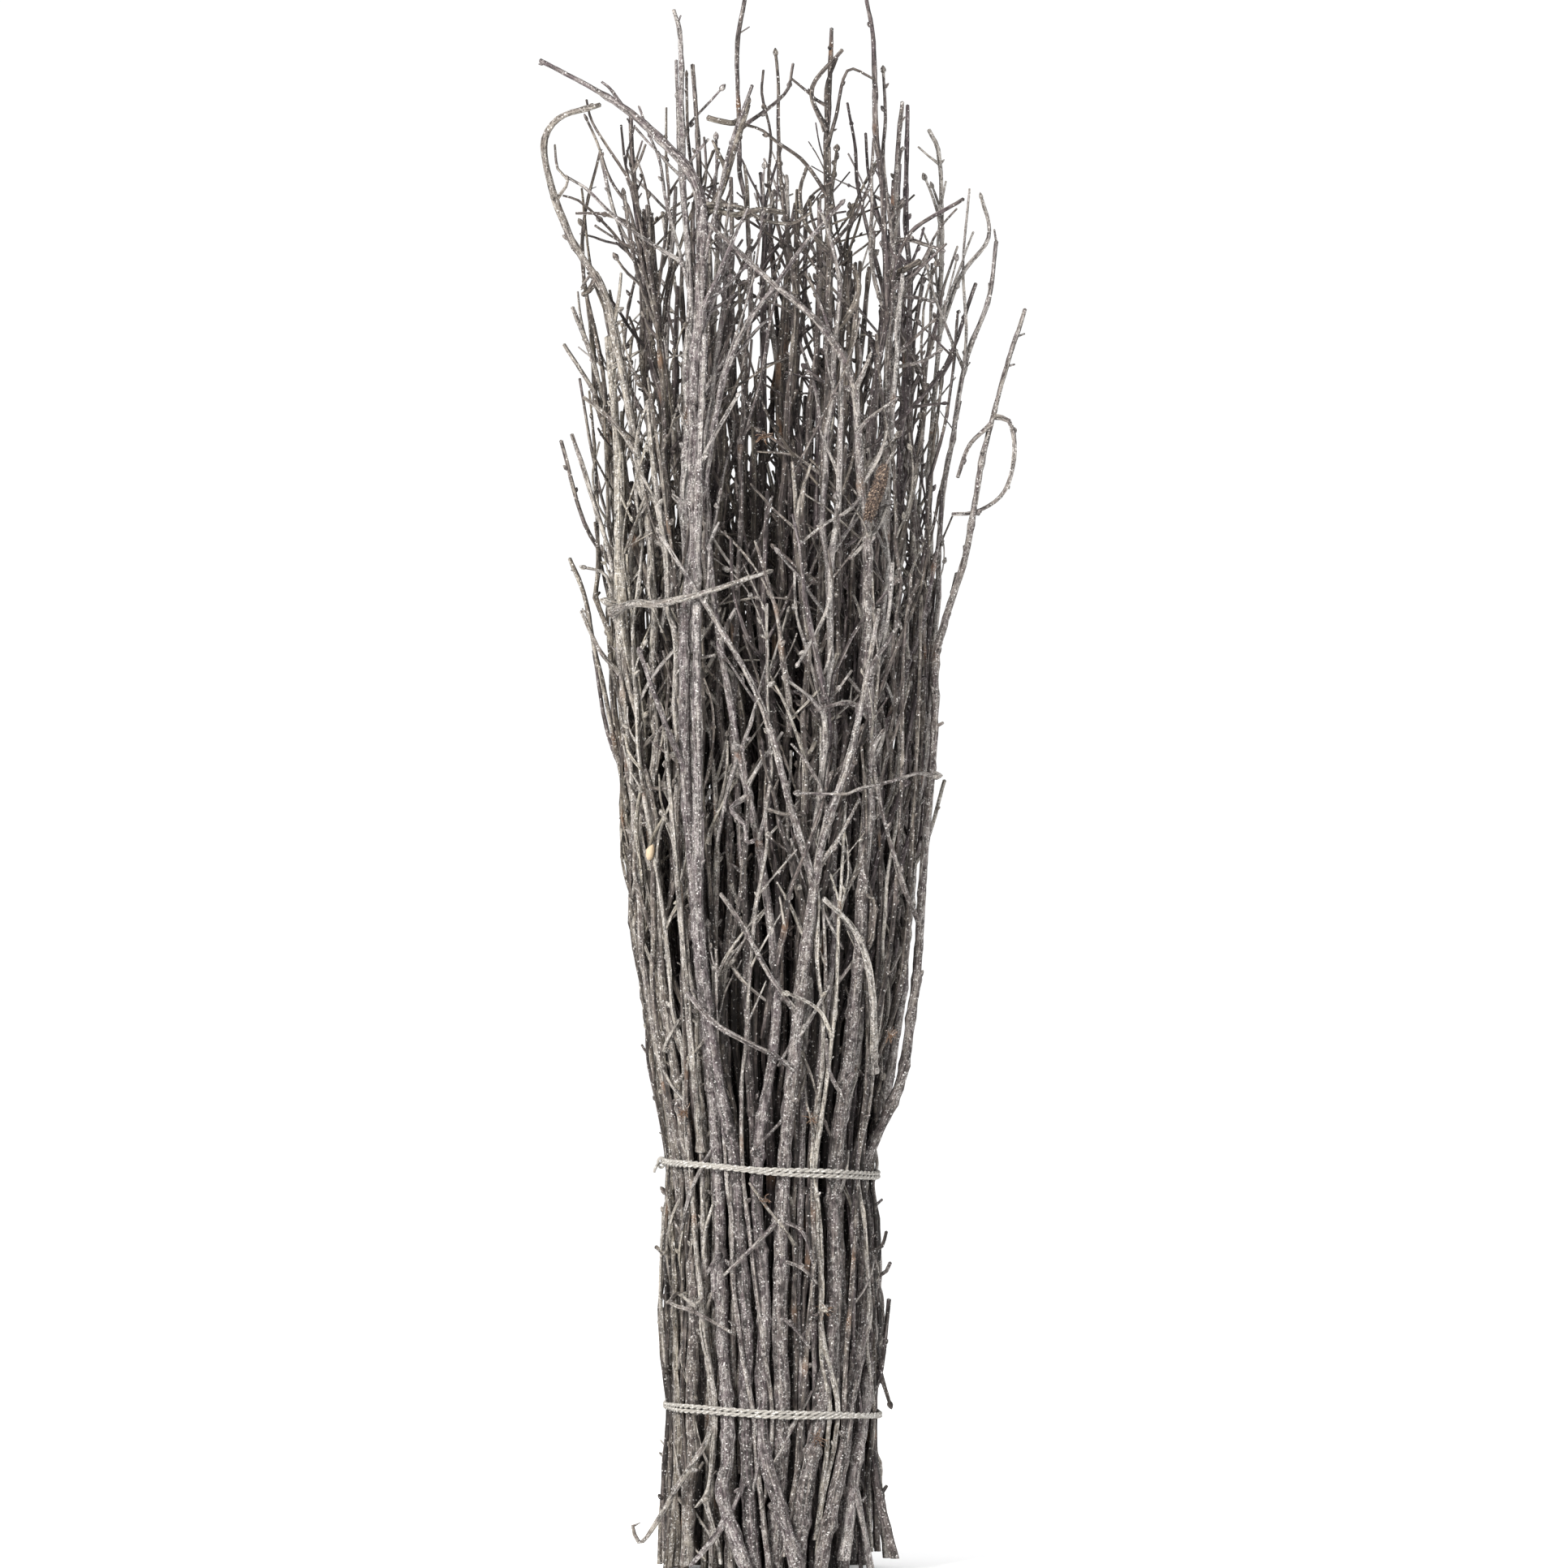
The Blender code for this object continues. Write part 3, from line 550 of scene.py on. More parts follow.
# Fine shoots that stand on whichever stem is nearest their root, as seen in front: root
# and tip radius and points.
CROSSING_SHOOTS = [
    (0.9, 0.5, [
        (-47, -34, 482), (-52.7, -34, 527), (-56.7, -34, 534), (-62, -33, 542), (-68, -31, 552),
        (-70, -30, 560),
    ]),
    (0.9, 0.5, [
        (-47, -28, 470), (-51, -28, 507), (-54, -27, 519), (-61, -27, 530), (-66, -26, 544),
        (-71, -25, 555),
    ]),
    (0.9, 0.6, [(-42, -38, 497), (-52.7, -38, 510), (-61, -37, 517), (-70, -34, 526), (-78, -31, 531)]),
    (0.7, 0.5, [(-70, -34, 526), (-77, -32, 529), (-81, -30, 534), (-82, -29, 543)]),
    (0.9, 0.6, [(-44, -30, 500), (-52.7, -30, 512), (-63, -30, 516.5), (-74, -28, 517)]),
    (0.8, 0.5, [(-46, -24, 487), (-54, -24, 502), (-62, -24, 512), (-73, -23, 522), (-79, -22, 524)]),
    (0.9, 0.5, [(-46, -20, 478), (-50, -20, 505), (-52, -20, 521), (-55.5, -19, 537), (-57, -19, 551)]),
    (0.9, 0.5, [(-38, -40, 488), (-39.7, -41, 521), (-42, -42, 536), (-46, -42, 546), (-50, -41, 557)]),
    (0.8, 0.5, [(-37, -30, 480), (-38.8, -30, 521), (-39.7, -30, 537), (-39.7, -30, 557)]),
    (0.9, 0.6, [(-34, -32, 495), (-34.7, -32, 537), (-35.3, -32, 556), (-36, -31, 575)]),
    (0.9, 0.6, [(-28, -36, 495), (-28.5, -36, 524), (-31.3, -36, 544), (-32, -36, 571)]),
    (0.8, 0.6, [(-63, -32, 495), (-68.8, -32, 493), (-72, -32, 488)]),
    (0.9, 0.5, [(-60, -18, 440), (-63, -18, 449), (-65.7, -17, 466), (-68.8, -16, 479)]),
    (0.9, 0.5, [(-1, -30, 488), (-0.6, -32, 527), (0, -33, 546), (-3.4, -34, 562), (-2.8, -34, 571)]),
    (1.1, 0.6, [(5, -38, 484), (3.7, -40, 530), (2.8, -41, 550), (2.8, -41, 566), (1.6, -41, 579)]),
    (0.9, 0.6, [(2.8, -41, 548), (5.6, -42, 562), (8.4, -42, 573)]),
    (0.9, 0.6, [(20, -42, 552), (21, -43, 564), (25, -44, 575)]),
    (0.7, 0.5, [(19.5, -42, 556), (17.4, -44, 559), (14, -45, 562), (7.8, -46, 567)]),
    (1.0, 0.6, [(36, -24, 488), (33, -26, 527), (32, -27, 542), (29, -27, 559)]),
    (0.9, 0.6, [(39, -18, 500), (37.5, -18, 530), (36, -18, 548)]),
    (1.0, 0.6, [(41, -30, 505), (42.5, -31, 537), (43.4, -31, 553), (42.5, -31, 573)]),
    (0.9, 0.6, [(-22, -44, 495), (-21.4, -45, 521), (-20.5, -45, 533), (-20.8, -45, 547)]),
    (0.9, 0.6, [(45, -28, 505), (52, -30, 507), (58.6, -31, 505), (66, -31, 502.5)]),
    (0.8, 0.6, [(44, -26, 486), (54.3, -32, 485), (62, -35, 483)]),
    (0.8, 0.6, [(46, -30, 461), (55, -36, 470), (63, -38, 477)]),
    (0.8, 0.6, [(46, -24, 457), (57.7, -30, 461), (65.4, -32, 465.6)]),
    (1.0, 0.5, [(58, -12, 450), (60.8, -16, 466), (65.4, -18, 488), (71, -18, 505)]),
    (1.0, 0.9, [(38.5, -10, 68), (42, -9, 77), (45, -9, 104)]),
    (1.0, 0.8, [(38, -8, 84), (42, -8, 75), (46, -8, 62)]),
    (1.1, 0.8, [(-9, -40, 39), (-12, -43.5, 32), (-14.3, -45, 26)]),
    (0.9, 0.7, [(30, -30, 36), (33, -31, 27), (36.5, -29, 12)]),
    (1.3, 0.7, [(38, -10, 180), (49, -14, 230), (55.5, -17, 290), (58, -18, 350), (59, -19, 392)]),
    (1.2, 0.7, [(40, -18, 182), (49.5, -24, 225), (53.5, -29, 280), (56, -31, 330), (57, -30, 372)]),
    (1.1, 0.7, [(36, -24, 188), (45.5, -31, 240), (49.5, -36, 300), (50, -39, 345), (53, -38, 380)]),
    (1.0, 0.8, [(-24, -30, 30), (-23, -34, 22), (-20, -37, 12), (-19, -38, 5)]),
    (0.9, 0.6, [(9, -40, 135), (12, -43.5, 131), (16, -42.5, 119)]),
    (0.8, 0.6, [(9, -40, 120), (12, -43, 117), (17.7, -42.5, 111)]),
    (0.8, 0.6, [(6, -40, 98), (8.4, -43.5, 95), (14.9, -43, 87)]),
    (1.3, 1.0, [(-22, -38, 122), (-21.4, -42, 118), (-21.6, -42.5, 105)]),
    (0.9, 0.7, [(-26, -34, 103), (-29, -38, 103), (-33, -35.5, 106)]),
    (0.9, 0.8, [(38, -8, 112), (43, -8, 113.5), (45.5, -8, 118)]),
    (0.8, 0.7, [(38, -14, 124), (42, -14, 124), (44, -14, 130)]),
    (0.8, 0.5, [
        (60, -20, 305), (56, -32, 304.5), (44, -44, 301), (31.6, -53, 298), (28.8, -54, 296.7),
        (8.4, -58, 297),
    ]),
    (1.1, 0.9, [
        (-17, -47, 296), (-15, -52, 291), (-9.6, -56, 284.6), (-9, -56.5, 278), (-5, -56.5, 280),
    ]),
    (0.9, 0.7, [(11, -52, 286), (5, -56, 289), (-1.5, -57.5, 291)]),
    (1.8, 1.1, [(41, -28, 190), (39, -36, 210), (37, -40, 231), (31, -45, 246), (20, -51, 257)]),
    (1.0, 0.7, [(35, -46, 337), (38.8, -50, 346), (43.4, -50, 353), (49, -48, 362)]),
    (0.9, 0.7, [(37, -42, 300), (37.8, -47, 309), (39.5, -48, 316), (43.4, -47, 321.5)]),
    (1.1, 0.9, [(38, -36, 238), (38.4, -42, 243), (38.8, -43, 257), (36.3, -44, 258.5)]),
    (1.1, 0.7, [(54, -26, 246), (50.5, -33, 261), (45, -39, 279), (41.5, -42, 292.6), (39, -45, 306)]),
    (0.9, 0.7, [(-40, -30, 297), (-38, -37, 299), (-35.6, -40, 303)]),
    (1.0, 0.8, [(-50, -14, 273), (-54, -15, 275.6)]),
    (0.9, 0.6, [(18, -48, 330), (13.6, -54, 334), (4, -58, 341)]),
    (0.9, 0.6, [(-24, -40, 232), (-28, -44, 244), (-30, -46, 262), (-27, -49, 281)]),
    (0.8, 0.6, [(24, -44, 206), (19, -47, 214), (12, -50, 219), (4, -51, 222)]),
    (0.9, 0.6, [(30, -36, 172), (27, -40, 181), (22, -43, 192), (21, -45, 204)]),
    (0.8, 0.6, [(-36, -26, 186), (-32, -33, 193), (-25, -38, 204)]),
    (0.9, 0.6, [(-6, -44, 345), (-9, -54, 356), (-14, -58, 372), (-15, -59, 393)]),
    (0.9, 0.6, [(8, -46, 372), (12, -56, 384), (10, -59, 402), (15, -60, 421)]),
    (0.8, 0.6, [(-40, -40, 330), (-36, -46, 341), (-30, -50, 347), (-21, -54, 349)]),
]

# Shoots like those above with looks of their own: the look, then as above.
PALE_LOOK = {"tone": 0.8, "pale": 0.5, "frost": 0.9}
GREY_LOOK = {"tone": 0.05, "pale": 0.05, "frost": 0.6}
BROWN_LOOK = {"tone": 0.8, "pale": -0.25, "frost": 0.25}
OTHER_SHOOTS = [
    (PALE_LOOK, 2.8, 1.5, [
        (-50, -22, 325), (-54, -26, 345), (-57, -29, 368), (-57.5, -29, 395), (-58, -29, 425),
        (-60, -28, 450), (-62, -27, 470),
    ]),
    (GREY_LOOK, 2.5, 1.2, [
        (-24, -36, 185), (-27, -47, 240), (-27.5, -54, 300), (-28, -58, 360), (-27, -59, 420),
        (-25, -58, 470),
    ]),
    (BROWN_LOOK, 1.5, 1.3, [(44.5, -27, 493), (50, -34, 495), (56.4, -38, 498.5)]),
    (BROWN_LOOK, 1.3, 1.0, [
        (-30, -52, 514), (-22, -55, 517), (-14, -56, 515), (-5, -56, 517), (5, -54, 516),
    ]),
    (BROWN_LOOK, 1.0, 0.7, [
        (-20, -54, 521), (-12, -56, 518), (-3, -56, 513), (8, -54, 512), (15, -52, 516),
    ]),
    (BROWN_LOOK, 1.5, 1.0, [
        (-22, -50, 512), (-19, -50, 524), (-14, -50, 540), (-10, -49, 552), (-8, -48, 560),
    ]),
    (BROWN_LOOK, 0.9, 0.6, [(-12, -52, 516), (-9, -52, 526), (-10, -52, 534)]),
    (BROWN_LOOK, 1.2, 1.0, [(-10, -49, 551), (-15, -50, 550), (-24, -49, 552)]),
    (BROWN_LOOK, 1.0, 0.8, [(12, -50, 500), (13, -52, 512), (11, -52, 524), (13.5, -51, 533)]),
    (BROWN_LOOK, 1.3, 1.0, [(20, -46, 470), (27, -52, 474), (33, -52, 486), (31, -50, 497)]),
    (BROWN_LOOK, 1.3, 1.1, [(-68, -29, 489), (-70, -29, 486.5), (-71.5, -29, 486)]),
]

# The spot where a strip of bark is torn off: where it shows, its length, and how far in
# from the rim its wood counts as lying.
WOUND = (-43.5, -30, 276), 6.0
WOOD_CORE = 0.5

# Pale swellings on the stems in front: where they show, and their size.
KNOTS = (
    ((-57, -33, 368), 7.0),
    ((-9, -52, 314), 3.6),
    ((-20.5, -50, 310), 3.6),
    ((-38, -38, 313), 3.2),
    ((62, -20, 303), 3.0),
    ((-21, -36, 119), 3.2),
    ((-33, -25, 106), 3.4),
    ((21, -36, 102), 3.6),
    ((-13, -53, 283), 3.0),
    ((30, -50, 346), 3.0),
    ((-17, -36, 37), 3.4),
    ((8, -50, 262), 3.0),
)

# Tufts of torn brown fibres on the stems in front: how many fibres each has, where they
# show, and their length.
TUFT_FIBRES = 14
TUFTS = (
    ((15.5, -41, 173.6), 4.5),
    ((-1.5, -40, 142.6), 4.0),
    ((21, -38, 101), 4.0),
    ((-2, -58, 432), 5.0),
    ((18, -39, 52.7), 5.0),
    ((-44, -25, 275), 3.0),
    ((46, -30, 205), 4.0),
    ((-33, -35, 176), 4.0),
)

# The dry catkin in front on the right: the twig whose piece it belongs to, its look, its
# stalk, its own line and its width.
CATKIN_TWIG = "twig_thick_right"
CATKIN_LOOK = {"tone": 0.5, "pale": 0.4, "frost": 0.4}
CATKIN_STALK = [(45, -27, 429), (47, -43, 429), (46, -53, 425), (43.5, -55, 421)]
CATKIN_LINE = [(43, -55, 421), (41.5, -58, 415), (39, -59, 408), (36.5, -58, 400)]
CATKIN_WIDTH = 2.7

# Thin twigs that squeeze between the others, in rings like RINGS, with the gaps to their
# neighbours below and above. Those of the middle, those that lie on the outside and those
# that weave through the outermost follow: how many, their radii, tops, roots and turns.
FILLER_RINGS = (
    {"low": 0.98, "high": 0.94, "most": 9, "radii": (0.9, 1.6), "tops": (300, 490)},
    {"low": 0.87, "high": 0.84, "most": 30, "radii": (0.9, 1.7), "tops": (310, 500)},
    {"low": 0.72, "high": 0.72, "most": 34, "radii": (1.1, 2.1), "tops": (330, 515)},
)
FILLER_PLACES = 72
FILLER_STRIDE = 31
FILLER_GAP_LOW = 0.05
FILLER_GAP_HIGH = -1.5
MIDDLE_TWIGS = 68
MIDDLE_SHARE = 0.60
MIDDLE_RADII = (1.6, 2.5)
MIDDLE_TOPS = (350, 535)
OUTSIDE_TWIGS = 40
OUTSIDE_RADII = (0.8, 1.5)
OUTSIDE_TOPS = (230, 500)
OUTSIDE_DRIFT = 0.36
OUTSIDE_SWING = 0.35
OUTSIDE_FOOT = 0.24
OUTSIDE_FEET = (0, 2, 4, 8, 14, 26)
OUTSIDE_BETWEEN = ((84, 0.24), (108, 0.5), (132, 0.76))
OUTSIDE_BENDS = (182, 240, 310, 380, 450)
TIE_SEARCH = 0.07
WOVEN_TWIGS = 66
WOVEN_RADII = (0.9, 1.9)
WOVEN_ROOTS = (168, 400)
WOVEN_LENGTHS = (70, 190)
WOVEN_TURNS = (0.12, 0.50)
WOVEN_REACHES = ((0.0, 0.80), (0.2, 0.93), (0.5, 1.0), (0.8, 1.0), (1.0, 0.98))

# Twigs that the photograph shows well between two heights. No thin stem of the outside
# runs along in front of them there, closer than this.
IN_FRONT_APART = 4
SEEN_IN_FRONT = {
    "twig_sweeping": (320, 480),
    "twig_tall_left": (200, 480),
    "twig_centre": (190, 330),
}

# How grown twigs stray from their routes: the spacing of their kinks and of their long
# bends, how much less they stray upwards, and at each height how far a kink and a bend
# take them. Twigs with routes of their own stray less. The tips keep their place, and
# the last stretch grows thin.
KINK_SPACING = (11, 27)
BEND_SPACING = (50, 110)
STRAY_UPWARDS = 0.3
STRAY = (
    (0, 0.7, 0.8),
    (40, 0.8, 1.0),
    (LOWER_TIE, 0.15, 0.0),
    (84, 1.0, 1.4),
    (108, 1.1, 2.3),
    (132, 1.0, 1.4),
    (UPPER_TIE, 0.15, 0.0),
    (185, 1.1, 2.2),
    (300, 1.8, 4.8),
    (420, 2.2, 6.0),
)
ROUTED_STRAY = 0.5
TIP_HOLDS = 70.0
TIP_THICKNESS = 0.75
TIP_THICKENS = 0.0115

# Some feet of the outer stems slant across their neighbours' feet: how many do, and how
# far they go sideways and outwards below the tie. Thin twigs may end above the floor.
SLANTED_FEET = 0.5
SLANTED_OUT = 33
SLANT = (4.0, 9.5)
SLANT_OUT = (3.4, 5.0)
SLANT_LEADS_OUT = 3.2
SHORT_FEET = 0.5
SHORT_FOOT = (12, 44)

# How thick a stem's skin is beside its solid at each height: every solid twig's, and
# those of the twigs that the photograph shows well.
THINS = {
    "twig": ((UPPER_TIE, 1.0), (235, 0.82), (420, 0.76), (600, 0.9)),
    "twig_arched": ((400, 1.0), (500, 1.3), (550, 1.2), (575, 0.85)),
    "twig_hooked": ((UPPER_TIE, 1.0), (235, 0.82), (430, 1.0), (500, 1.2)),
    "twig_centre": ((0, 1.0), (600, 1.0)),
    "twig_sweeping": ((0, 1.0), (600, 1.0)),
    "twig_tall_left": ((UPPER_TIE, 1.0), (230, 1.25), (430, 1.3), (500, 1.0)),
}

# The bark's surface: how much stems swell at their joints and over what length, how far
# it is uneven from point to point, and its slow and quick lumps. ANY_TURN is a turn to any
# side. Edges are sharp from SHARP_EDGE degrees on. Skins stay inside the solids' box by
# BOX_ROOM of their radius.
JOINT_SWELLS = (0.08, 0.42)
JOINT_LENGTH = 1.9
ROUGHNESS = 0.055
ROUGHEST = 0.12
SLOW_LUMP = 7
QUICK_LUMP = 2.1
ANY_TURN = (0, 6.3)
SHARP_EDGE = 58
BOX_ROOM = 1.3

# Buds: their width along them, their widths as shares of their length when pointed and
# when knobbly, and how often a shoot ends in one.
BUD_PROFILE = ((0.0, 0.55), (0.22, 0.95), (0.5, 1.0), (0.8, 0.62), (1.0, 0.18))
BUD_WIDTHS = ((0.24, 0.32), (0.34, 0.42))
TIP_BUDS = 0.3

# Grown shoots: the lengths of their steps, how they lift, curl and kink on the way, how
# thick their tips are, and where their buds and the shoots of longer ones stand.
SHOOT_STEP = 7
SHOOT_LIFTS = (0.16, 0.10, 0.07, 0.03, -0.05)
SHOOT_CURL = 0.09
SHOOT_KINK = 0.11
SHOOT_TIPS = (0.42, 0.62)
SHOOT_COLLAR = 0.5
COLLAR_LENGTH = 2.5
FIRST_BUD = (6, 12)
BUD_SPACING = (8, 17)
BUD_LENGTHS = (1.8, 3.2)
SHOOTS_WITH_BUDS = 0.75
TWIGLETS = 0.22
TWIGLET_FROM = 38
TWIGLET_LENGTHS = (8, 30)

# Fine shoots on the stems: the top that they keep under and the height from which they
# grow, how far they lean in degrees, their lengths and how these stretch, their radii as
# shares of the stem's, their thickest, and how often one is tried.
SHOOTS_TOP = 548.0
FINE_FROM = UPPER_TIE + 40
FINE_LEAN = (18, 58)
FINE_LENGTHS = (12, 50)
FINE_STRETCH = (0.6, 2.0)
FINE_SHARE = (0.45, 0.7)
FINE_THICKEST = 1.2
FINE_TRIES = 6

# Short dead shoots that cross the neighbours on the outside: how far from the middle and
# up to what height they grow, how often, how far they lean off upright in degrees, their
# lengths, and the shares of these that their steps take.
ACROSS_OUT = 33
ACROSS_TOP = 430
ACROSS_OFTEN = 0.27
ACROSS_LEAN = (10, 38)
ACROSS_LENGTHS = (8, 44)
ACROSS_STEPS = (0.25, 0.35, 0.4)

# Spurs and buds at a stem's joints, clear of the ties: how often a joint stays empty, how
# often it has a spur, and their lengths. A few joints have bare wood.
TIE_ROOM = 9
EMPTY_JOINTS = 0.3
SPURS = 0.45
SPUR_LENGTHS = (1.5, 5)
JOINT_BUDS = (2.0, 3.8)
BARE_JOINTS = 0.05

# How each height changes a stem's frost and adds to its paleness, and the kinds of bark:
# paleness and frost.
FROST_BY_HEIGHT = (
    (0, 1.1),
    (30, 0.8),
    (160, 0.8),
    (250, 0.95),
    (400, 1.0),
    (480, 0.85),
    (600, 0.7),
)
PALE_BY_HEIGHT = (
    (0, 0.20),
    (30, -0.04),
    (160, -0.04),
    (200, 0.08),
    (300, 0.31),
    (450, 0.42),
    (520, 0.40),
)
BARK_KINDS = ((-0.40, 0.25), (-0.15, 0.45), (0.15, 0.75), (0.65, 1.15))

# The looks of the twigs whose places are known: tone, paleness and frost.
LOOKS = {
    "twig_centre": (0.25, 0.10, 0.65),
    "twig_left_of_centre": (0.10, 0.00, 0.50),
    "twig_arched": (0.05, -0.15, 0.50),
    "twig_sweeping": (0.30, -0.05, 0.60),
    "twig_looped": (0.35, 0.05, 0.60),
    "twig_right_high": (0.20, 0.35, 0.80),
    "twig_tall_left": (0.05, 0.20, 0.80),
    "twig_hooked": (0.60, 0.22, 0.60),
    "twig_hooked_foot": (0.55, 0.55, 0.80),
    "twig_splayed_foot": (0.30, -0.10, 0.30),
}

# The twine: its look, its plies' radius and how tightly they turn, in radians a
# millimetre, how close its two laps lie, and the wraps of its knot.
TWINE_LOOK = {"tone": 0.5, "pale": 0.6, "frost": 0.8}
PLY_RADIUS = 0.50
PLY_LAY = 1.05
LAPS_APART = TWINE_PITCH * 0.8
KNOT_WRAPS = 3
WRAP_POINTS = 22
WRAP_RADIUS = 0.52

# The grain of the skins: the step along a stem, its sides and its fine shoots. The groups
# of thin twigs have their seed first and their share of the frost last.
SOLID_GRAIN = (3.0, 9, (3, 7))
THIN_GROUPS = {
    "thin_twigs_1": (100, 5.0, 7, (3, 6), 0.8),
    "thin_twigs_2": (101, 5.0, 7, (3, 6), 0.8),
    "outside_twigs": (150, 4.5, 6, (2, 5), 1.0),
    "woven_twigs": (170, 3.5, 6, (1, 3), 1.0),
    "middle_twigs": (200, 8.0, 5, (2, 4), 0.35),
}

# The lights: where each stands, its size, its power and its colour.
LIGHTS = {
    "key_light": ((-1.45, -2.25, 1.6), 0.85, 190, (1.0, 0.985, 0.965)),
    "side_light": ((2.0, -1.4, 0.9), 0.8, 22, (0.96, 0.98, 1.0)),
}

# Every dressed stem: its path, radii and look. Shoots find their root on these.
GROWN_STEMS = []


def lengths_along(path):
    """The length from a path's start to each of its points."""
    return np.concatenate([[0], np.cumsum(np.linalg.norm(np.diff(path, axis=0), axis=1))])


def ways_along(path):
    """The unit vectors in which a path runs, at each of its points."""
    ahead = np.gradient(path, axis=0)
    return ahead / np.linalg.norm(ahead, axis=1)[:, None]


def any_way(rng):
    """A vector whose parts are drawn from -1 to 1."""
    return Vector([rng.uniform(-1, 1) for _ in range(3)])


def smooth(points, radii, step):
    """A smooth line through the points, sampled about every step: path, radii, lengths."""
    points = np.array(points, float)
    at = lengths_along(points)
    slopes = np.empty_like(points)
    slopes[1:-1] = (points[2:] - points[:-2]) / (at[2:] - at[:-2])[:, None]
    slopes[0] = (points[1] - points[0]) / (at[1] - at[0])
    slopes[-1] = (points[-1] - points[-2]) / (at[-1] - at[-2])
    along = np.linspace(0, at[-1], max(3, round(at[-1] / step) + 1))
    k = np.clip(np.searchsorted(at, along, "right") - 1, 0, len(at) - 2)
    span = at[k + 1] - at[k]
    u = ((along - at[k]) / span)[:, None]
    span = span[:, None]
    path = (
        (2 * u**3 - 3 * u**2 + 1) * points[k]
        + (u**3 - 2 * u**2 + u) * span * slopes[k]
        + (3 * u**2 - 2 * u**3) * points[k + 1]
        + (u**3 - u**2) * span * slopes[k + 1]
    )
    return path, np.interp(along, at, radii), along


def wander(rng, along, spacing, rounded):
    """Sideways shifts that change from one station to the next, and the stations."""
    stations = [0.0]
    while stations[-1] < along[-1]:
        stations.append(stations[-1] + rng.uniform(*spacing))
    aside = [(0, 0, 0)] + [[rng.uniform(-1, 1) for _ in range(3)] for _ in stations[1:]]
    aside = np.array(aside) * (1, 1, STRAY_UPWARDS)
    k = np.clip(np.searchsorted(stations, along, "right") - 1, 0, len(stations) - 2)
    stations = np.array(stations)
    u = (along - stations[k]) / (stations[k + 1] - stations[k])
    u = ((1 - rounded) * u + rounded * u * u * (3 - 2 * u))[:, None]
    return aside[k] * (1 - u) + aside[k + 1] * u, stations[1:-1]


def grown(rng, run, step, stray=1.0):
    """A run as it grew, with kinks, bends and swollen joints: path, radii, joints, shift."""
    path, radii, along = smooth(*run, step)
    left = along[-1] - along
    radii = np.minimum(radii, TIP_THICKNESS + TIP_THICKENS * left)
    kinks, stations = wander(rng, along, KINK_SPACING, 0.2)
    bends, _ = wander(rng, along, BEND_SPACING, 1.0)
    heights, kink_sizes, bend_sizes = zip(*STRAY)
    shift = kinks * np.interp(path[:, 2], heights, kink_sizes)[:, None]
    shift += bends * np.interp(path[:, 2], heights, bend_sizes)[:, None]
    shift *= (stray * np.clip(left / TIP_HOLDS, 0, 1))[:, None]
    shift[0, 2] = 0
    for station in stations:
        swell = rng.uniform(*JOINT_SWELLS)
        radii = radii * (1 + swell * np.exp(-(((along - station) / JOINT_LENGTH) ** 2)))
    joints = [int(k) for k in np.searchsorted(along, stations)]
    return path + shift, radii, joints, shift


def with_slanted_foot(rng, path):
    """The path with its foot led outwards and across its neighbours' feet."""
    at_tie = path[int(np.abs(path[:, 2] - LOWER_TIE).argmin())]
    outward = at_tie * (1, 1, 0) / np.linalg.norm(at_tie[:2])
    sideways = np.cross((0, 0, 1), outward) * rng.choice((-1, 1))
    below = np.clip((LOWER_TIE - 2 - path[:, 2]) / LOWER_TIE, 0, 1)
    out = np.clip(below * SLANT_LEADS_OUT, 0, 1) * rng.uniform(*SLANT_OUT)
    aside = below * rng.uniform(*SLANT)
    return path + out[:, None] * outward + aside[:, None] * sideways


def carried(run, path, shift):
    """A shoot's run, its root moved as the stem under it strayed."""
    points, radii = run
    points = np.array(points, float)
    k = int(np.linalg.norm(path - shift - points[0], axis=1).argmin())
    return points + shift[k] * np.linspace(1, 0, len(points))[:, None], radii


def in_box(path, radii):
    """The path kept as far inside the solids' box as its thickness asks."""
    low, high = (np.array(corner) / MM for corner in CAD_BOX)
    room = radii[:, None] * BOX_ROOM
    return np.clip(path, low + room * (1, 1, 0), high - room)


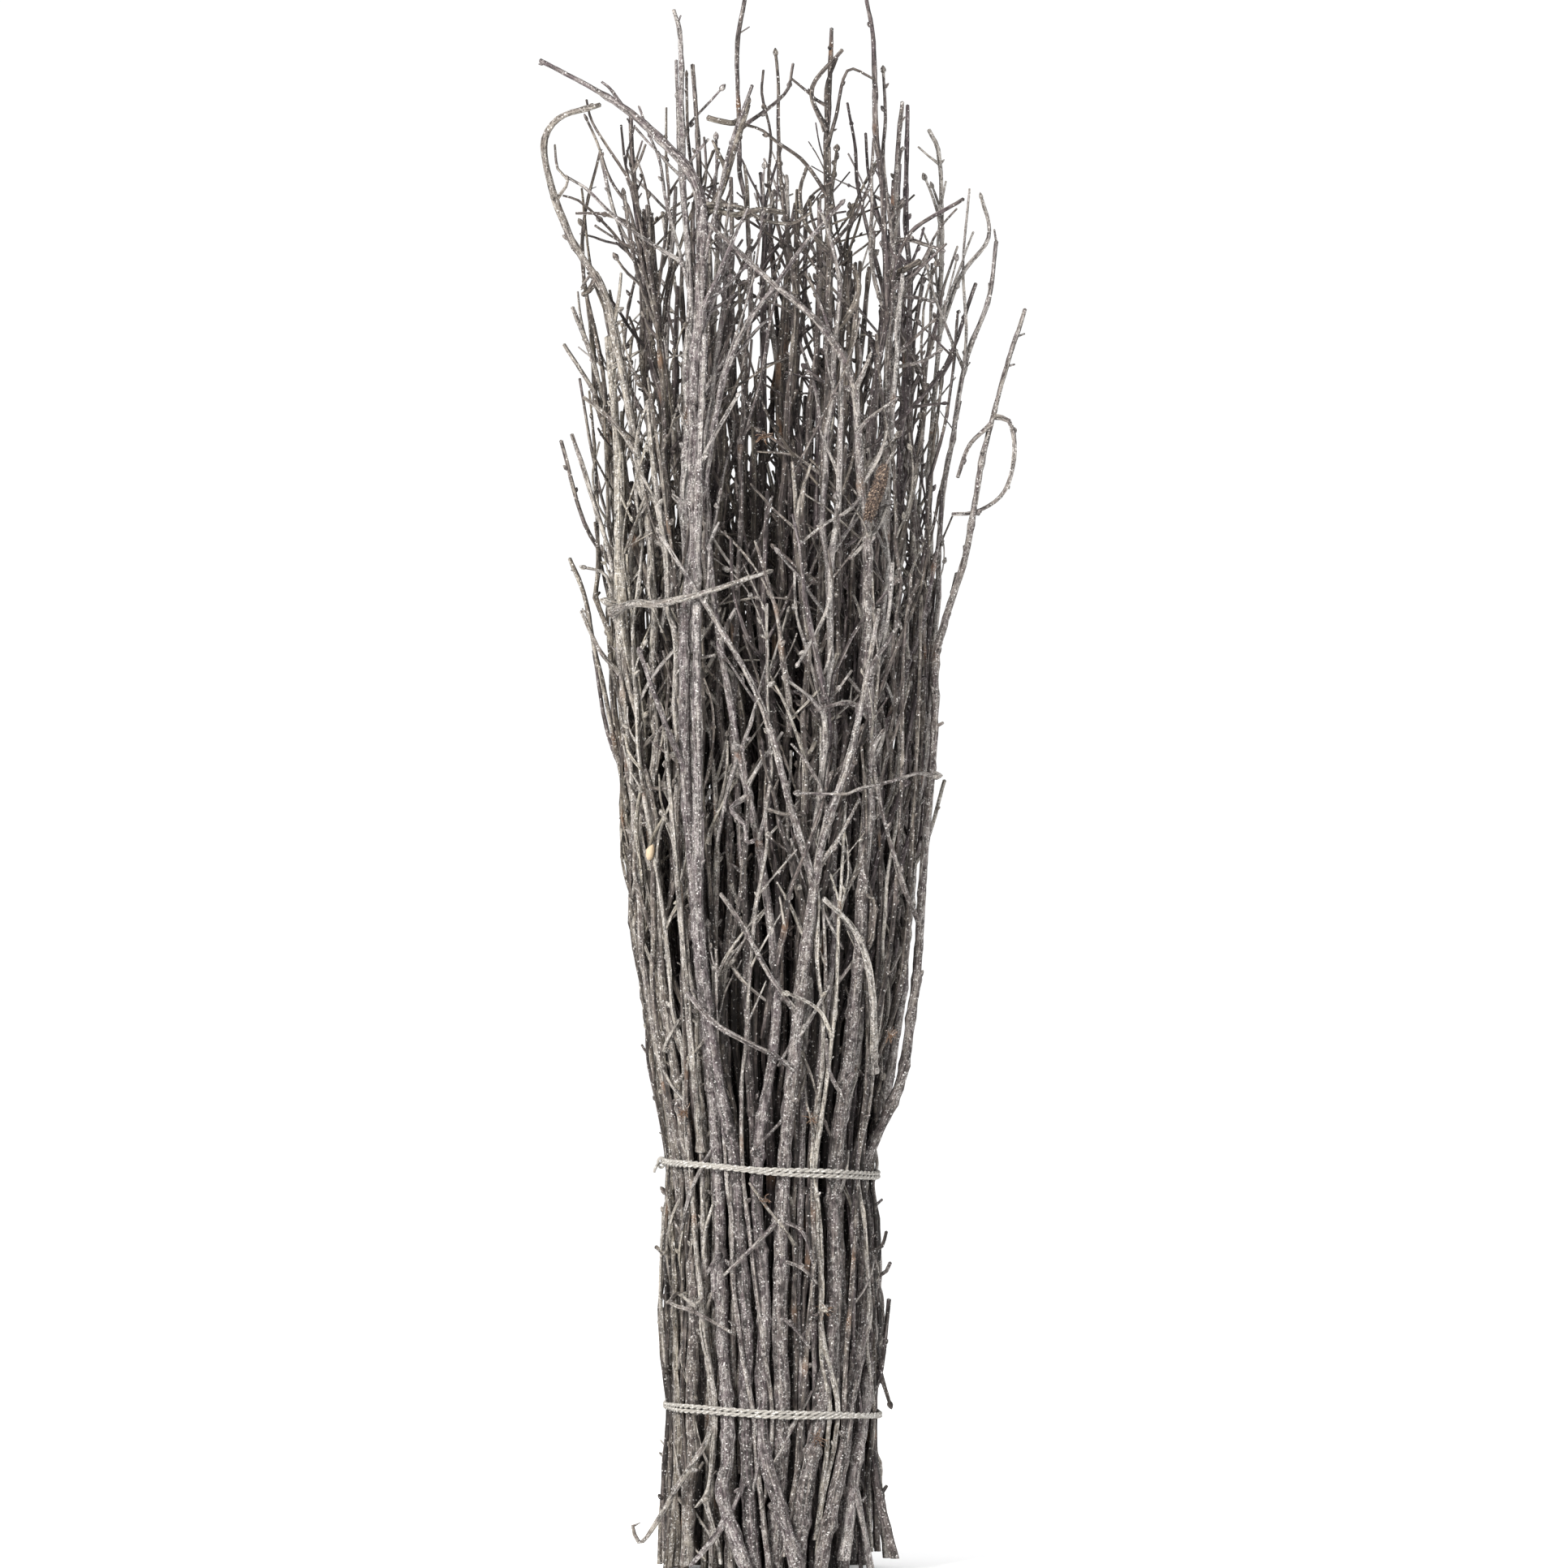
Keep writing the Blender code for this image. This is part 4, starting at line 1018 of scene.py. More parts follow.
class Skin:
    """Tubes gathered into one mesh, with what the bark's material reads of each."""

    def __init__(self):
        self.points, self.quads, self.tris = [], [], []
        self.quad_slots, self.tri_slots = [], []
        self.grain, self.looks = [], {"tone": [], "pale": [], "frost": [], "bare": [], "core": []}
        self.count = 0

    def tube(self, rng, path, radii, sides, look, slot=0, end_slot=None, lumps=0.06, level=False):
        """A closed tube. level cuts its first end level, and end_slot finishes that end."""
        rings = len(path)
        path = in_box(path, radii)
        ahead = ways_along(path)
        across = np.eye(3)[np.abs(ahead).max(0).argmin()]
        u = across - (ahead @ across)[:, None] * ahead
        u /= np.linalg.norm(u, axis=1)[:, None]
        v = np.cross(ahead, u)
        turns = np.arange(sides) * 2 * math.pi / sides
        along = lengths_along(path)
        a, b, c = (rng.uniform(*ANY_TURN) for _ in range(3))
        slow = np.sin(along / SLOW_LUMP + a)[:, None] * np.cos(2 * turns + b)[None]
        quick = np.sin(along[:, None] / QUICK_LUMP + 3 * turns[None] + c)
        rough = np.random.default_rng(rng.getrandbits(32)).normal(0, ROUGHNESS, (rings, sides))
        rough = np.clip(rough, -ROUGHEST, ROUGHEST)
        reach = radii[:, None] * (1 + lumps * (slow + 0.5 * quick) + rough)
        out = np.cos(turns)[None, :, None] * u[:, None] + np.sin(turns)[None, :, None] * v[:, None]
        ring_points = path[:, None] + reach[..., None] * out
        if level:
            ring_points[0, :, 2] = path[0, 2]
        caps = np.stack([path[0], path[-1] + ahead[-1] * radii[-1] * 0.5])
        self.points.append(np.concatenate([ring_points.reshape(-1, 3), caps]))
        self.add_faces(rings, sides, slot, slot if end_slot is None else end_slot)
        self.add_grain(rng, radii, along, turns)
        self.add_look(path, out, look)

    def add_faces(self, rings, sides, slot, foot_slot):
        """The faces of a tube whose rings come first, then the middles of its two ends."""
        i, j = np.meshgrid(np.arange(rings - 1), np.arange(sides), indexing="ij")
        low, low_next = i * sides + j, i * sides + (j + 1) % sides
        quads = np.stack([low, low_next, low_next + sides, low + sides], -1).reshape(-1, 4)
        side = np.arange(sides)
        after = (side + 1) % sides
        first, last = rings * sides, rings * sides + 1
        top = (rings - 1) * sides
        foot_tris = np.stack([np.full(sides, first), after, side], 1)
        tip_tris = np.stack([np.full(sides, last), top + side, top + after], 1)
        self.quads.append(quads + self.count)
        self.tris.append(np.concatenate([foot_tris, tip_tris]) + self.count)
        self.quad_slots.append(np.full(len(quads), slot))
        self.tri_slots.append(np.repeat([foot_slot, slot], sides))
        self.count += rings * sides + 2

    def add_grain(self, rng, radii, along, turns):
        """Where each point lies in the tube's own wood, which runs along Z."""
        shift = np.array([rng.uniform(0, 500), rng.uniform(0, 500), rng.uniform(0, 500)])
        x, y = radii[:, None] * np.cos(turns), radii[:, None] * np.sin(turns)
        around = np.stack([x, y, np.repeat(along[:, None], len(turns), 1)], -1).reshape(-1, 3)
        ends = np.array([[0, 0, 0], [0, 0, along[-1]]])
        self.grain.append(np.concatenate([around, ends]) + shift)

    def add_look(self, path, out, look):
        """How warm, pale, frosted and bare each point is, and whether it is at the rim."""
        rings, sides = out.shape[:2]
        pale = look["pale"] + at_height(PALE_BY_HEIGHT, path[:, 2])
        frost = at_height(FROST_BY_HEIGHT, path[:, 2]) * look["frost"]
        outward = path * (1, 1, 0)
        outward /= np.linalg.norm(outward, axis=1)[:, None] + 1e-6
        facing = (out * outward[:, None]).sum(-1)
        frost_around = frost[:, None] * (0.65 + 0.35 * facing)
        bare = look.get("bare", np.zeros(rings))
        for key, around, ends in (
            ("tone", np.full(rings * sides, look["tone"]), [look["tone"]] * 2),
            ("pale", np.repeat(pale, sides), pale[[0, -1]]),
            ("frost", frost_around.reshape(-1), frost[[0, -1]]),
            ("bare", np.repeat(bare, sides), bare[[0, -1]]),
            ("core", np.ones(rings * sides), [0, 0]),
        ):
            self.looks[key].append(np.concatenate([around, ends]))

    def make(self, name, materials):
        """The mesh object."""
        quads, tris = np.concatenate(self.quads), np.concatenate(self.tris)
        mesh = bpy.data.meshes.new(name)
        mesh.vertices.add(self.count)
        mesh.vertices.foreach_set("co", (np.concatenate(self.points) * MM).ravel())
        corners = np.concatenate([quads.ravel(), tris.ravel()])
        mesh.loops.add(len(corners))
        mesh.loops.foreach_set("vertex_index", corners)
        quad_starts = np.arange(len(quads)) * 4
        tri_starts = quads.size + np.arange(len(tris)) * 3
        mesh.polygons.add(len(quads) + len(tris))
        mesh.polygons.foreach_set("loop_start", np.concatenate([quad_starts, tri_starts]))
        slots = np.concatenate(self.quad_slots + self.tri_slots)
        mesh.polygons.foreach_set("material_index", slots)
        mesh.update(calc_edges=True)
        mesh.validate()
        mesh.shade_smooth()
        mesh.set_sharp_from_angle(angle=math.radians(SHARP_EDGE))
        grain = mesh.attributes.new("grain", "FLOAT_VECTOR", "POINT")
        grain.data.foreach_set("vector", np.concatenate(self.grain).ravel())
        for key, values in self.looks.items():
            attribute = mesh.attributes.new(key, "FLOAT", "POINT")
            attribute.data.foreach_set("value", np.concatenate(values))
        for material in materials:
            mesh.materials.append(material)
        piece = bpy.data.objects.new(name, mesh)
        bpy.context.scene.collection.objects.link(piece)
        return piece


def inside_outline(points):
    """True if every point keeps within the shoots' outline and the solids' box."""
    points = np.array(points)
    low, high = (np.array(corner) / MM for corner in CAD_BOX)
    inside = (points > low + 1).all() and (points < high - 1).all()
    reach = np.hypot(points[:, 0], points[:, 1])
    return inside and (reach < at_height(SHOOT_OUTLINE, points[:, 2])).all()


def bud(skin, rng, at, heading, length, look):
    """A bud, pointed or knobbly, that sits on a twig and points along the heading."""
    heading = heading / np.linalg.norm(heading)
    stations, widths = (np.array(column) for column in zip(*BUD_PROFILE))
    path = at + heading * (stations * length)[:, None]
    width = length * rng.choice([rng.uniform(*shares) for shares in BUD_WIDTHS])
    skin.tube(rng, path, widths * width, 6, look, lumps=0.12)


def leaning(ahead, lean, turn):
    """A heading that leans off the way ahead by this angle, to the side that turn gives."""
    ahead = Vector(ahead).normalized()
    side = ahead.orthogonal().normalized()
    side.rotate(Matrix.Rotation(turn, 3, ahead))
    return ahead * math.cos(lean) + side * math.sin(lean)


def grow_shoot(rng, root, heading, length, radius):
    """A shoot's run: it leaves along the heading and mostly bends up."""
    points = [Vector(root)]
    heading = Vector(heading)
    lift = rng.choice(SHOOT_LIFTS)
    curl = any_way(rng) * SHOOT_CURL
    steps = max(2, round(length / SHOOT_STEP))
    for _ in range(steps):
        kink = any_way(rng) * SHOOT_KINK
        heading = (heading + UP * lift + curl + kink).normalized()
        points.append(points[-1] + heading * (length / steps))
    tip = min(radius * 0.8, rng.uniform(*SHOOT_TIPS))
    return points, radius_along(points, radius, tip)


def shoot_across(rng, path, k, radius):
    """A short dead shoot that crosses the neighbouring stems on the outside."""
    outward = Vector(path[k] * (1, 1, 0)).normalized()
    sideways = UP.cross(outward) * rng.choice((-1, 1))
    lean = math.radians(rng.uniform(*ACROSS_LEAN))
    heading = UP * math.cos(lean) * rng.choice((1, 1, -1)) + sideways * math.sin(lean)
    heading = (heading + outward * 0.4).normalized()
    length = rng.uniform(*ACROSS_LENGTHS)
    points = [Vector(path[k])]
    for share in ACROSS_STEPS:
        points.append(points[-1] + heading * length * share)
        heading = (heading - outward * 0.32 + UP * rng.uniform(-0.1, 0.2)).normalized()
    return points, radius_along(points, radius, radius * 0.7)


def dress_shoot(skin, rng, run, look, step=3.0, order=1):
    """A shoot with its collar and buds and, where its order is 1, shoots of its own."""
    path, radii, _ = smooth(*run, step)
    ahead = ways_along(path)
    length = np.linalg.norm(np.diff(path, axis=0), axis=1).sum()
    step = length / (len(path) - 1)
    radii = radii * (1 + SHOOT_COLLAR * np.exp(-np.arange(len(radii)) * step / COLLAR_LENGTH))
    if rng.random() < TIP_BUDS:
        bud(skin, rng, path[-2], path[-1] - path[-2], step, look)
        path, radii = path[:-1], radii[:-1]
    skin.tube(rng, path, radii, 6 if order == 1 else 5, look, lumps=0.10)
    station, side = rng.uniform(*FIRST_BUD), rng.uniform(*ANY_TURN)
    while station < length - FIRST_BUD[0]:
        k = min(len(path) - 2, int(station / step))
        side += math.pi + rng.uniform(-0.7, 0.7)
        if order == 1 and length > TWIGLET_FROM and rng.random() < TWIGLETS:
            heading = leaning(ahead[k], rng.uniform(0.5, 1.0), side)
            twiglet = grow_shoot(
                rng, path[k], heading, rng.uniform(*TWIGLET_LENGTHS), radii[k] * 0.75
            )
            if inside_outline(twiglet[0]):
                dress_shoot(skin, rng, twiglet, look, order=2)
        elif rng.random() < SHOOTS_WITH_BUDS:
            heading = np.array(leaning(ahead[k], rng.uniform(0.3, 0.8), side))
            root = path[k] + heading * radii[k] * 0.5
            bud(skin, rng, root, heading, rng.uniform(*BUD_LENGTHS), look)
        station += rng.uniform(*BUD_SPACING)


def dress_twig(skin, rng, runs, look, step, sides, shoots, fine=(), stray=1.0, slants=0.0, thins=()):
    """A whole twig: stem, the shoots of the solid, and finer shoots, spurs and buds."""
    path, radii, joints, shift = grown(rng, runs[0], step, stray)
    if thins:
        radii = np.maximum(radii * at_height(thins, path[:, 2]), np.minimum(radii, TIP_RADIUS))
    path[-1] += (path[-2] - path[-1]) * 0.8 * radii[-1] / step
    if rng.random() < slants:
        path = with_slanted_foot(rng, path)
    bare = np.zeros(len(path))
    for joint in joints:
        if rng.random() < BARE_JOINTS:
            at = (np.arange(len(path)) - joint) * step
            bare += rng.uniform(0.4, 0.9) * np.exp(-((at / 2.5) ** 2))
    stem_look = dict(look, bare=np.minimum(bare, 1))
    skin.tube(rng, path, radii, sides, stem_look, end_slot=1, level=True)
    GROWN_STEMS.append((path, radii, look))
    for run in [*runs[1:], *fine]:
        dress_shoot(skin, rng, carried(run, path, shift), look)
    ahead = ways_along(path)
    add_fine_shoots(skin, rng, path, radii, ahead, joints, look, shoots)
    for k in joints:
        if min(abs(path[k, 2] - LOWER_TIE), abs(path[k, 2] - UPPER_TIE)) >= TIE_ROOM:
            dress_joint(skin, rng, path, radii, ahead, k, look)


def add_fine_shoots(skin, rng, path, radii, ahead, joints, look, shoots):
    """Fine shoots at some of a stem's joints, most of them high up."""
    high = [k for k in joints if path[k, 2] > FINE_FROM]
    weights = [max(0.15, (path[k, 2] - 190) / 250) for k in high]
    for k in rng.choices(high, weights, k=shoots) if high else ():
        for _ in range(FINE_TRIES):
            lean, turn = math.radians(rng.uniform(*FINE_LEAN)), rng.uniform(*ANY_TURN)
            heading = leaning(ahead[k], lean, turn)
            length = rng.uniform(*FINE_LENGTHS) * rng.uniform(*FINE_STRETCH)
            length = min(length, max(8, SHOOTS_TOP - path[k, 2]))
            radius = min(FINE_THICKEST, radii[k] * rng.uniform(*FINE_SHARE))
            run = grow_shoot(rng, path[k], heading, length, radius)
            if inside_outline(run[0]) and run[0][-1].z < SHOOTS_TOP:
                tone = look["tone"] + rng.uniform(-0.15, 0.15)
                dress_shoot(skin, rng, run, dict(look, tone=tone))
                break


def dress_joint(skin, rng, path, radii, ahead, k, look):
    """What grows at a joint: a shoot across the neighbours, a spur, a bud or nothing."""
    outside = math.hypot(*path[k, :2]) > ACROSS_OUT and path[k, 2] < ACROSS_TOP
    if outside and rng.random() < ACROSS_OFTEN:
        run = shoot_across(rng, path, k, min(0.95, radii[k] * 0.6))
        if inside_outline(run[0]):
            dress_shoot(skin, rng, run, dict(look, pale=rng.uniform(0.5, 1.0)), 2.5, order=2)
        return
    if rng.random() < EMPTY_JOINTS:
        return
    heading = np.array(leaning(ahead[k], rng.uniform(0.4, 1.1), rng.uniform(*ANY_TURN)))
    root = path[k] + heading * radii[k] * 0.6
    if rng.random() < SPURS:
        spur = np.stack([path[k], root, root + heading * rng.uniform(*SPUR_LENGTHS)])
        thick = radii[k] * rng.uniform(0.35, 0.6)
        skin.tube(rng, spur, np.array([thick * 1.2, thick, thick * 0.8]), 6, look, lumps=0.08)
    else:
        bud(skin, rng, root, heading, rng.uniform(*JOINT_BUDS), look)


def look_of(rng, stem, frost=1.0):
    """A twig's tone, paleness and frost: warmer on the left, paler if thin, and less pale and less
    frosted inside as painted shade.
    """
    at, _ = point_at(stem, max(UPPER_TIE, stem[0][0].z + 10))
    left = max(-1.0, min(1.0, -at.x / TIE_RADIUS))
    # Stems deeper inside the outline lose paleness and frost: painted shade in the gaps between the
    # stems.
    shaded_depth = min(1.0, max(0.0, (outline(at.z) - 4 - math.hypot(at.x, at.y)) / 7))
    thin = 1 - min(1.0, (stem[1][0] - 0.9) / 2.2)
    pale, frosted = rng.choice(BARK_KINDS)
    pale += 0.18 * thin + 0.02 * left + rng.uniform(-0.10, 0.10)
    return {
        "tone": 0.35 + 0.22 * left + 0.2 * thin + rng.uniform(-0.35, 0.35),
        "pale": pale * (1 - 0.9 * shaded_depth) - 0.42 * shaded_depth,
        "frost": (frosted + rng.uniform(-0.1, 0.1)) * frost * (1 - 0.75 * shaded_depth),
    }


def filler_stems(placed):
    """The thin stems that squeeze in between the placed ones."""
    rng = random.Random(21)
    taken = [np.concatenate(column) for column in zip(*placed)]
    stems = []
    for ring in FILLER_RINGS:
        added = 0
        for place in range(FILLER_PLACES):
            angle = FRONT + 2 * math.pi * (place * FILLER_STRIDE % FILLER_PLACES) / FILLER_PLACES
            for _ in range(TRIES):
                stem = ruled_stem(rng, ring, angle)
                points, radii = stem
                if rng.random() < SHORT_FEET:
                    up = rng.uniform(*SHORT_FOOT) / LOWER_TIE
                    points[0] = points[0].lerp(points[1], up)
                if (
                    narrowest_gap(segments([(points[:4], radii[:4])]), taken) > FILLER_GAP_LOW
                    and narrowest_gap(segments([stem]), taken) > FILLER_GAP_HIGH
                ):
                    stems.append(stem)
                    taken = [np.concatenate(pair) for pair in zip(taken, segments([stem]))]
                    added += 1
                    break
            if added == ring["most"]:
                break
    return stems


def middle_stems():
    """The thin stems of the bundle's middle."""
    rng = random.Random(33)
    stems = []
    for i in range(MIDDLE_TWIGS):
        share = MIDDLE_SHARE * math.sqrt((i + 0.5) / MIDDLE_TWIGS)
        ring = {"low": share, "high": share * 1.02, "radii": MIDDLE_RADII, "tops": MIDDLE_TOPS}
        stems.append(ruled_stem(rng, ring, i * GOLDEN_TURN))
    return stems


def tie_angles(stems, height, slope):
    """A tie's inner reach at each angle round the bundle: angles and radii."""
    path = np.array(twine_path(stems, height, slope, 0.0), float)
    angles = np.arctan2(path[:, 1], path[:, 0])
    order = angles.argsort()
    return angles[order], np.hypot(path[:, 0], path[:, 1])[order] - TWINE_RADIUS


def under_tie(stems, tie, angle, radius):
    """The angle and reach, near an angle, where a thin twig fits best under the tie."""
    height, slope, _ = TIES[tie]
    angles, reaches = tie_angles(stems, height, slope)
    crossings = [c for c in (point_at(stem, height) for stem in stems) if c]
    centres = np.array([(at.x, at.y) for at, _ in crossings])
    radii = np.array([r for _, r in crossings])
    best = None
    for turn in np.linspace(angle - TIE_SEARCH, angle + TIE_SEARCH, 15):
        reach = np.interp(turn, angles, reaches, period=2 * math.pi) - radius
        at = np.array([math.cos(turn), math.sin(turn)]) * reach
        gap = (np.linalg.norm(centres - at, axis=1) - radii).min() - radius
        if best is None or gap > best[0]:
            best = gap, turn, reach
    return best[1:]


def outside_stems(stems):
    """Thin stems that lie on the outside, slanting from one valley to another."""
    rng = random.Random(57)
    outside = []
    for i in range(OUTSIDE_TWIGS):
        radius = rng.uniform(*OUTSIDE_RADII)
        angle = FRONT + 2 * math.pi * (i + rng.uniform(-0.4, 0.4)) / OUTSIDE_TWIGS
        drift = rng.uniform(-OUTSIDE_DRIFT, OUTSIDE_DRIFT)
        low_turn, low_reach = under_tie(stems, "tie_lower", angle, radius)
        high_turn, high_reach = under_tie(stems, "tie_upper", angle + drift, radius)
        top = rng.uniform(*OUTSIDE_TOPS)
        swing = rng.uniform(-OUTSIDE_SWING, OUTSIDE_SWING)
        foot_turn = low_turn + rng.uniform(-OUTSIDE_FOOT, OUTSIDE_FOOT)
        over = TIE_RADIUS + radius - rng.uniform(0.4, 1.6)
        foot = rng.choice(OUTSIDE_FEET)
        places = [(foot, foot_turn, over + rng.uniform(-0.5, 2.0))]
        places.append((32, (foot_turn + low_turn) / 2, over - 0.3))
        places.append((LOWER_TIE, low_turn, low_reach))
        for height, share in OUTSIDE_BETWEEN:
            places.append((height, low_turn + (high_turn - low_turn) * share, over + 0.4))
        places.append((UPPER_TIE, high_turn, high_reach))
        for height in OUTSIDE_BENDS:
            if height < top - 25:
                rise = (height - UPPER_TIE) / 300
                reach = outline(height) * (1.0 - 0.12 * rise) - radius
                places.append((height, high_turn + swing * rise, reach))
        rise = (top - UPPER_TIE) / 300
        reach = outline(top) * rng.uniform(0.8, 1.02) - radius
        places.append((top, high_turn + swing * rise, reach))
        points = [(math.cos(turn) * r, math.sin(turn) * r, z) for z, turn, r in places]
        outside.append(branch(points, radius, 0.6))
    return outside


def woven_stems():
    """Thin stems that branch off and slant across the others on the outside."""
    rng = random.Random(71)
    woven = []
    for i in range(WOVEN_TWIGS):
        radius = rng.uniform(*WOVEN_RADII)
        angle = FRONT + 2 * math.pi * (i + rng.uniform(-0.5, 0.5)) / WOVEN_TWIGS
        low = rng.uniform(*WOVEN_ROOTS)
        length = rng.uniform(*WOVEN_LENGTHS)
        turn = rng.choice((-1, 1)) * rng.uniform(*WOVEN_TURNS) * length / 100
        points = []
        for share, outwards in WOVEN_REACHES:
            height = low + length * share
            at = angle + turn * (share + 0.25 * share * share)
            reach = (outline(height) - radius) * outwards - 0.5
            points.append((math.cos(at) * reach, math.sin(at) * reach, height))
        woven.append(branch(points, radius, 0.5))
    return woven


def hides_front_stem(stem, twigs):
    """True if the thin stem runs along a well seen twig in front of it."""
    path, _, _ = smooth(*stem, 5.0)
    for name, (low, high) in SEEN_IN_FRONT.items():
        shown, _, _ = smooth(*twigs[name][0], 5.0)
        shown = shown[(shown[:, 2] > low) & (shown[:, 2] < high)]
        apart = np.abs(path[:, None] - shown[None])
        beside = (apart[..., 0] < IN_FRONT_APART) & (apart[..., 2] < IN_FRONT_APART)
        nearer = path[:, None, 1] < shown[None, :, 1] + 2
        if (beside & nearer).any(1).sum() > 3:
            return True
    return False


def nearest_stem(at):
    """The point of the dressed stem whose bark is nearest, and that stem's look."""
    at = np.array(Vector(at), float)
    best = None
    for path, radii, look in GROWN_STEMS:
        gaps = np.linalg.norm(path - at, axis=1) - radii
        k = int(gaps.argmin())
        if best is None or gaps[k] < best[0]:
            best = gaps[k], path[k], look
    return Vector(best[1]), best[2]


def rooted(points, first, last):
    """A shoot's run with its root moved onto the nearest stem, and that stem's look."""
    root, look = nearest_stem(points[0])
    points = [root, *(Vector(p) for p in points[1:])]
    return (points, radius_along(points, first, last)), look


def add_tuft(skin, rng, at, size):
    """Torn fibres that curl out of the bark."""
    _, look = nearest_stem(at)
    outward = Vector((at[0], at[1], 0)).normalized()
    for _ in range(TUFT_FIBRES):
        heading = (outward + any_way(rng)).normalized()
        line = [Vector(at) - outward * 1.5]
        for _ in range(4):
            line.append(line[-1] + heading * size * rng.uniform(0.2, 0.3))
            heading = (heading + any_way(rng) * 0.6).normalized()
        line = np.array(line)
        fibre_look = dict(look, bare=np.ones(len(line)), frost=0.5)
        skin.tube(rng, line, np.linspace(0.28, 0.12, len(line)), 5, fibre_look, lumps=0.15)


def add_wound(skin, rng, at, length):
    """A strip of pale wood where the bark is torn off."""
    root, look = nearest_stem(at)
    heading = Vector((0.25, 0, 1)).normalized()
    outward = Vector((at[0], at[1], 0)).normalized()
    middle = root + outward * 1.4
    path = np.array([middle + heading * length * share for share in (-0.5, -0.25, 0.1, 0.35, 0.5)])
    skin.tube(rng, path, np.array([0.7, 1.6, 1.7, 1.1, 0.4]), 8, look, slot=1, lumps=0.12)
    skin.looks["core"][-1][:] = WOOD_CORE


def add_knot(skin, rng, at, size):
    """A pale swelling on the bark."""
    root, look = nearest_stem(at)
    look = dict(look, pale=1.0, frost=1.0)
    heading = np.array(Vector(at)) * (1, 1, 0) + (0, 0, rng.uniform(-20, 30))
    bud(skin, rng, np.array(root), heading, size + 1.5, look)


def strand(skin, rng, line, lay, turn, radius, look):
    """One ply of the twine, laid round its line."""
    ahead = np.roll(line, -1, 0) - np.roll(line, 1, 0)
    ahead /= np.linalg.norm(ahead, axis=1)[:, None]
    outward = np.cross(ahead, (0, 0, 1))
    outward /= np.linalg.norm(outward, axis=1)[:, None]
    upward = np.cross(outward, ahead)
    steps = np.linalg.norm(np.diff(line, axis=0), axis=1)
    angle = np.concatenate([[0], np.cumsum(steps)]) * lay + turn
    ply = line + radius * 0.95 * (np.cos(angle)[:, None] * outward + np.sin(angle)[:, None] * upward)
    skin.tube(rng, ply, np.full(len(ply), radius), 6, look, lumps=0.03)


def resampled_loop(points, step):
    """A closed line through the points, rounded, sampled about every step."""
    points = np.array(points, float)
    closed = np.concatenate([points[-2:], points, points[:3]])
    path, _, _ = smooth(closed, np.ones(len(closed)), step)
    starts = np.linalg.norm(path - points[0], axis=1)
    half = len(path) // 2
    first = int(starts[:half].argmin())
    last = half + int(starts[half:].argmin())
    return path[first : last + 1]


def dress_tie(name, stems, material):
    """A tie: twine of two plies taken twice round the bundle, and its knot."""
    rng = random.Random(name)
    height, slope, knot_faces = TIES[name]
    skin = Skin()
    facing = np.array([math.cos(math.radians(knot_faces)), math.sin(math.radians(knot_faces)), 0])
    for side in (-0.5, 0.5):
        loop = resampled_loop(twine_path(stems, height, slope, side * LAPS_APART), 1.1)
        turn = np.arctan2(loop[:, 1], loop[:, 0])
        closer = 0.55 * side * (np.sin(2 * turn + height) - 0.6)
        loop[:, 2] += closer + 0.25 * np.sin(5 * turn + side)
        for ply in (0, math.pi):
            strand(skin, rng, loop, PLY_LAY, ply, PLY_RADIUS, TWINE_LOOK)
        knot_at = loop[(loop @ facing).argmax()]
    add_twine_knot(skin, rng, knot_at - (0, 0, TWINE_PITCH / 2), facing)
    ride(skin.make(name + "_twine", [material]), "twine", name)


def add_twine_knot(skin, rng, at, facing):
    """Wraps round both laps of the twine, and its two loose ends."""
    upright = np.array([0, 0, 1.0])
    beside = np.cross(upright, facing)
    for wrap in range(KNOT_WRAPS):
        t = np.linspace(0, 2 * math.pi, WRAP_POINTS)[:, None]
        tilt = beside * 0.5 * (wrap - 1) + upright * 0.12
        ring = at + facing * 0.7 + tilt * 1.1
        ring = ring + np.cos(t) * facing * 1.25 + np.sin(t) * (upright * 1.9 + beside * 0.25)
        skin.tube(rng, ring, np.full(WRAP_POINTS, WRAP_RADIUS), 6, TWINE_LOOK, lumps=0.03)
    for end, drop in ((beside, -0.5), (-beside, -0.9)):
        points = [at + facing * 1.2]
        for k in range(1, 5):
            points.append(points[0] + end * k + facing * 0.5 * k + upright * drop * k * k * 0.25)
        path, _, _ = smooth(points, np.ones(5), 0.8)
        skin.tube(rng, path, np.full(len(path), PLY_RADIUS), 6, TWINE_LOOK)


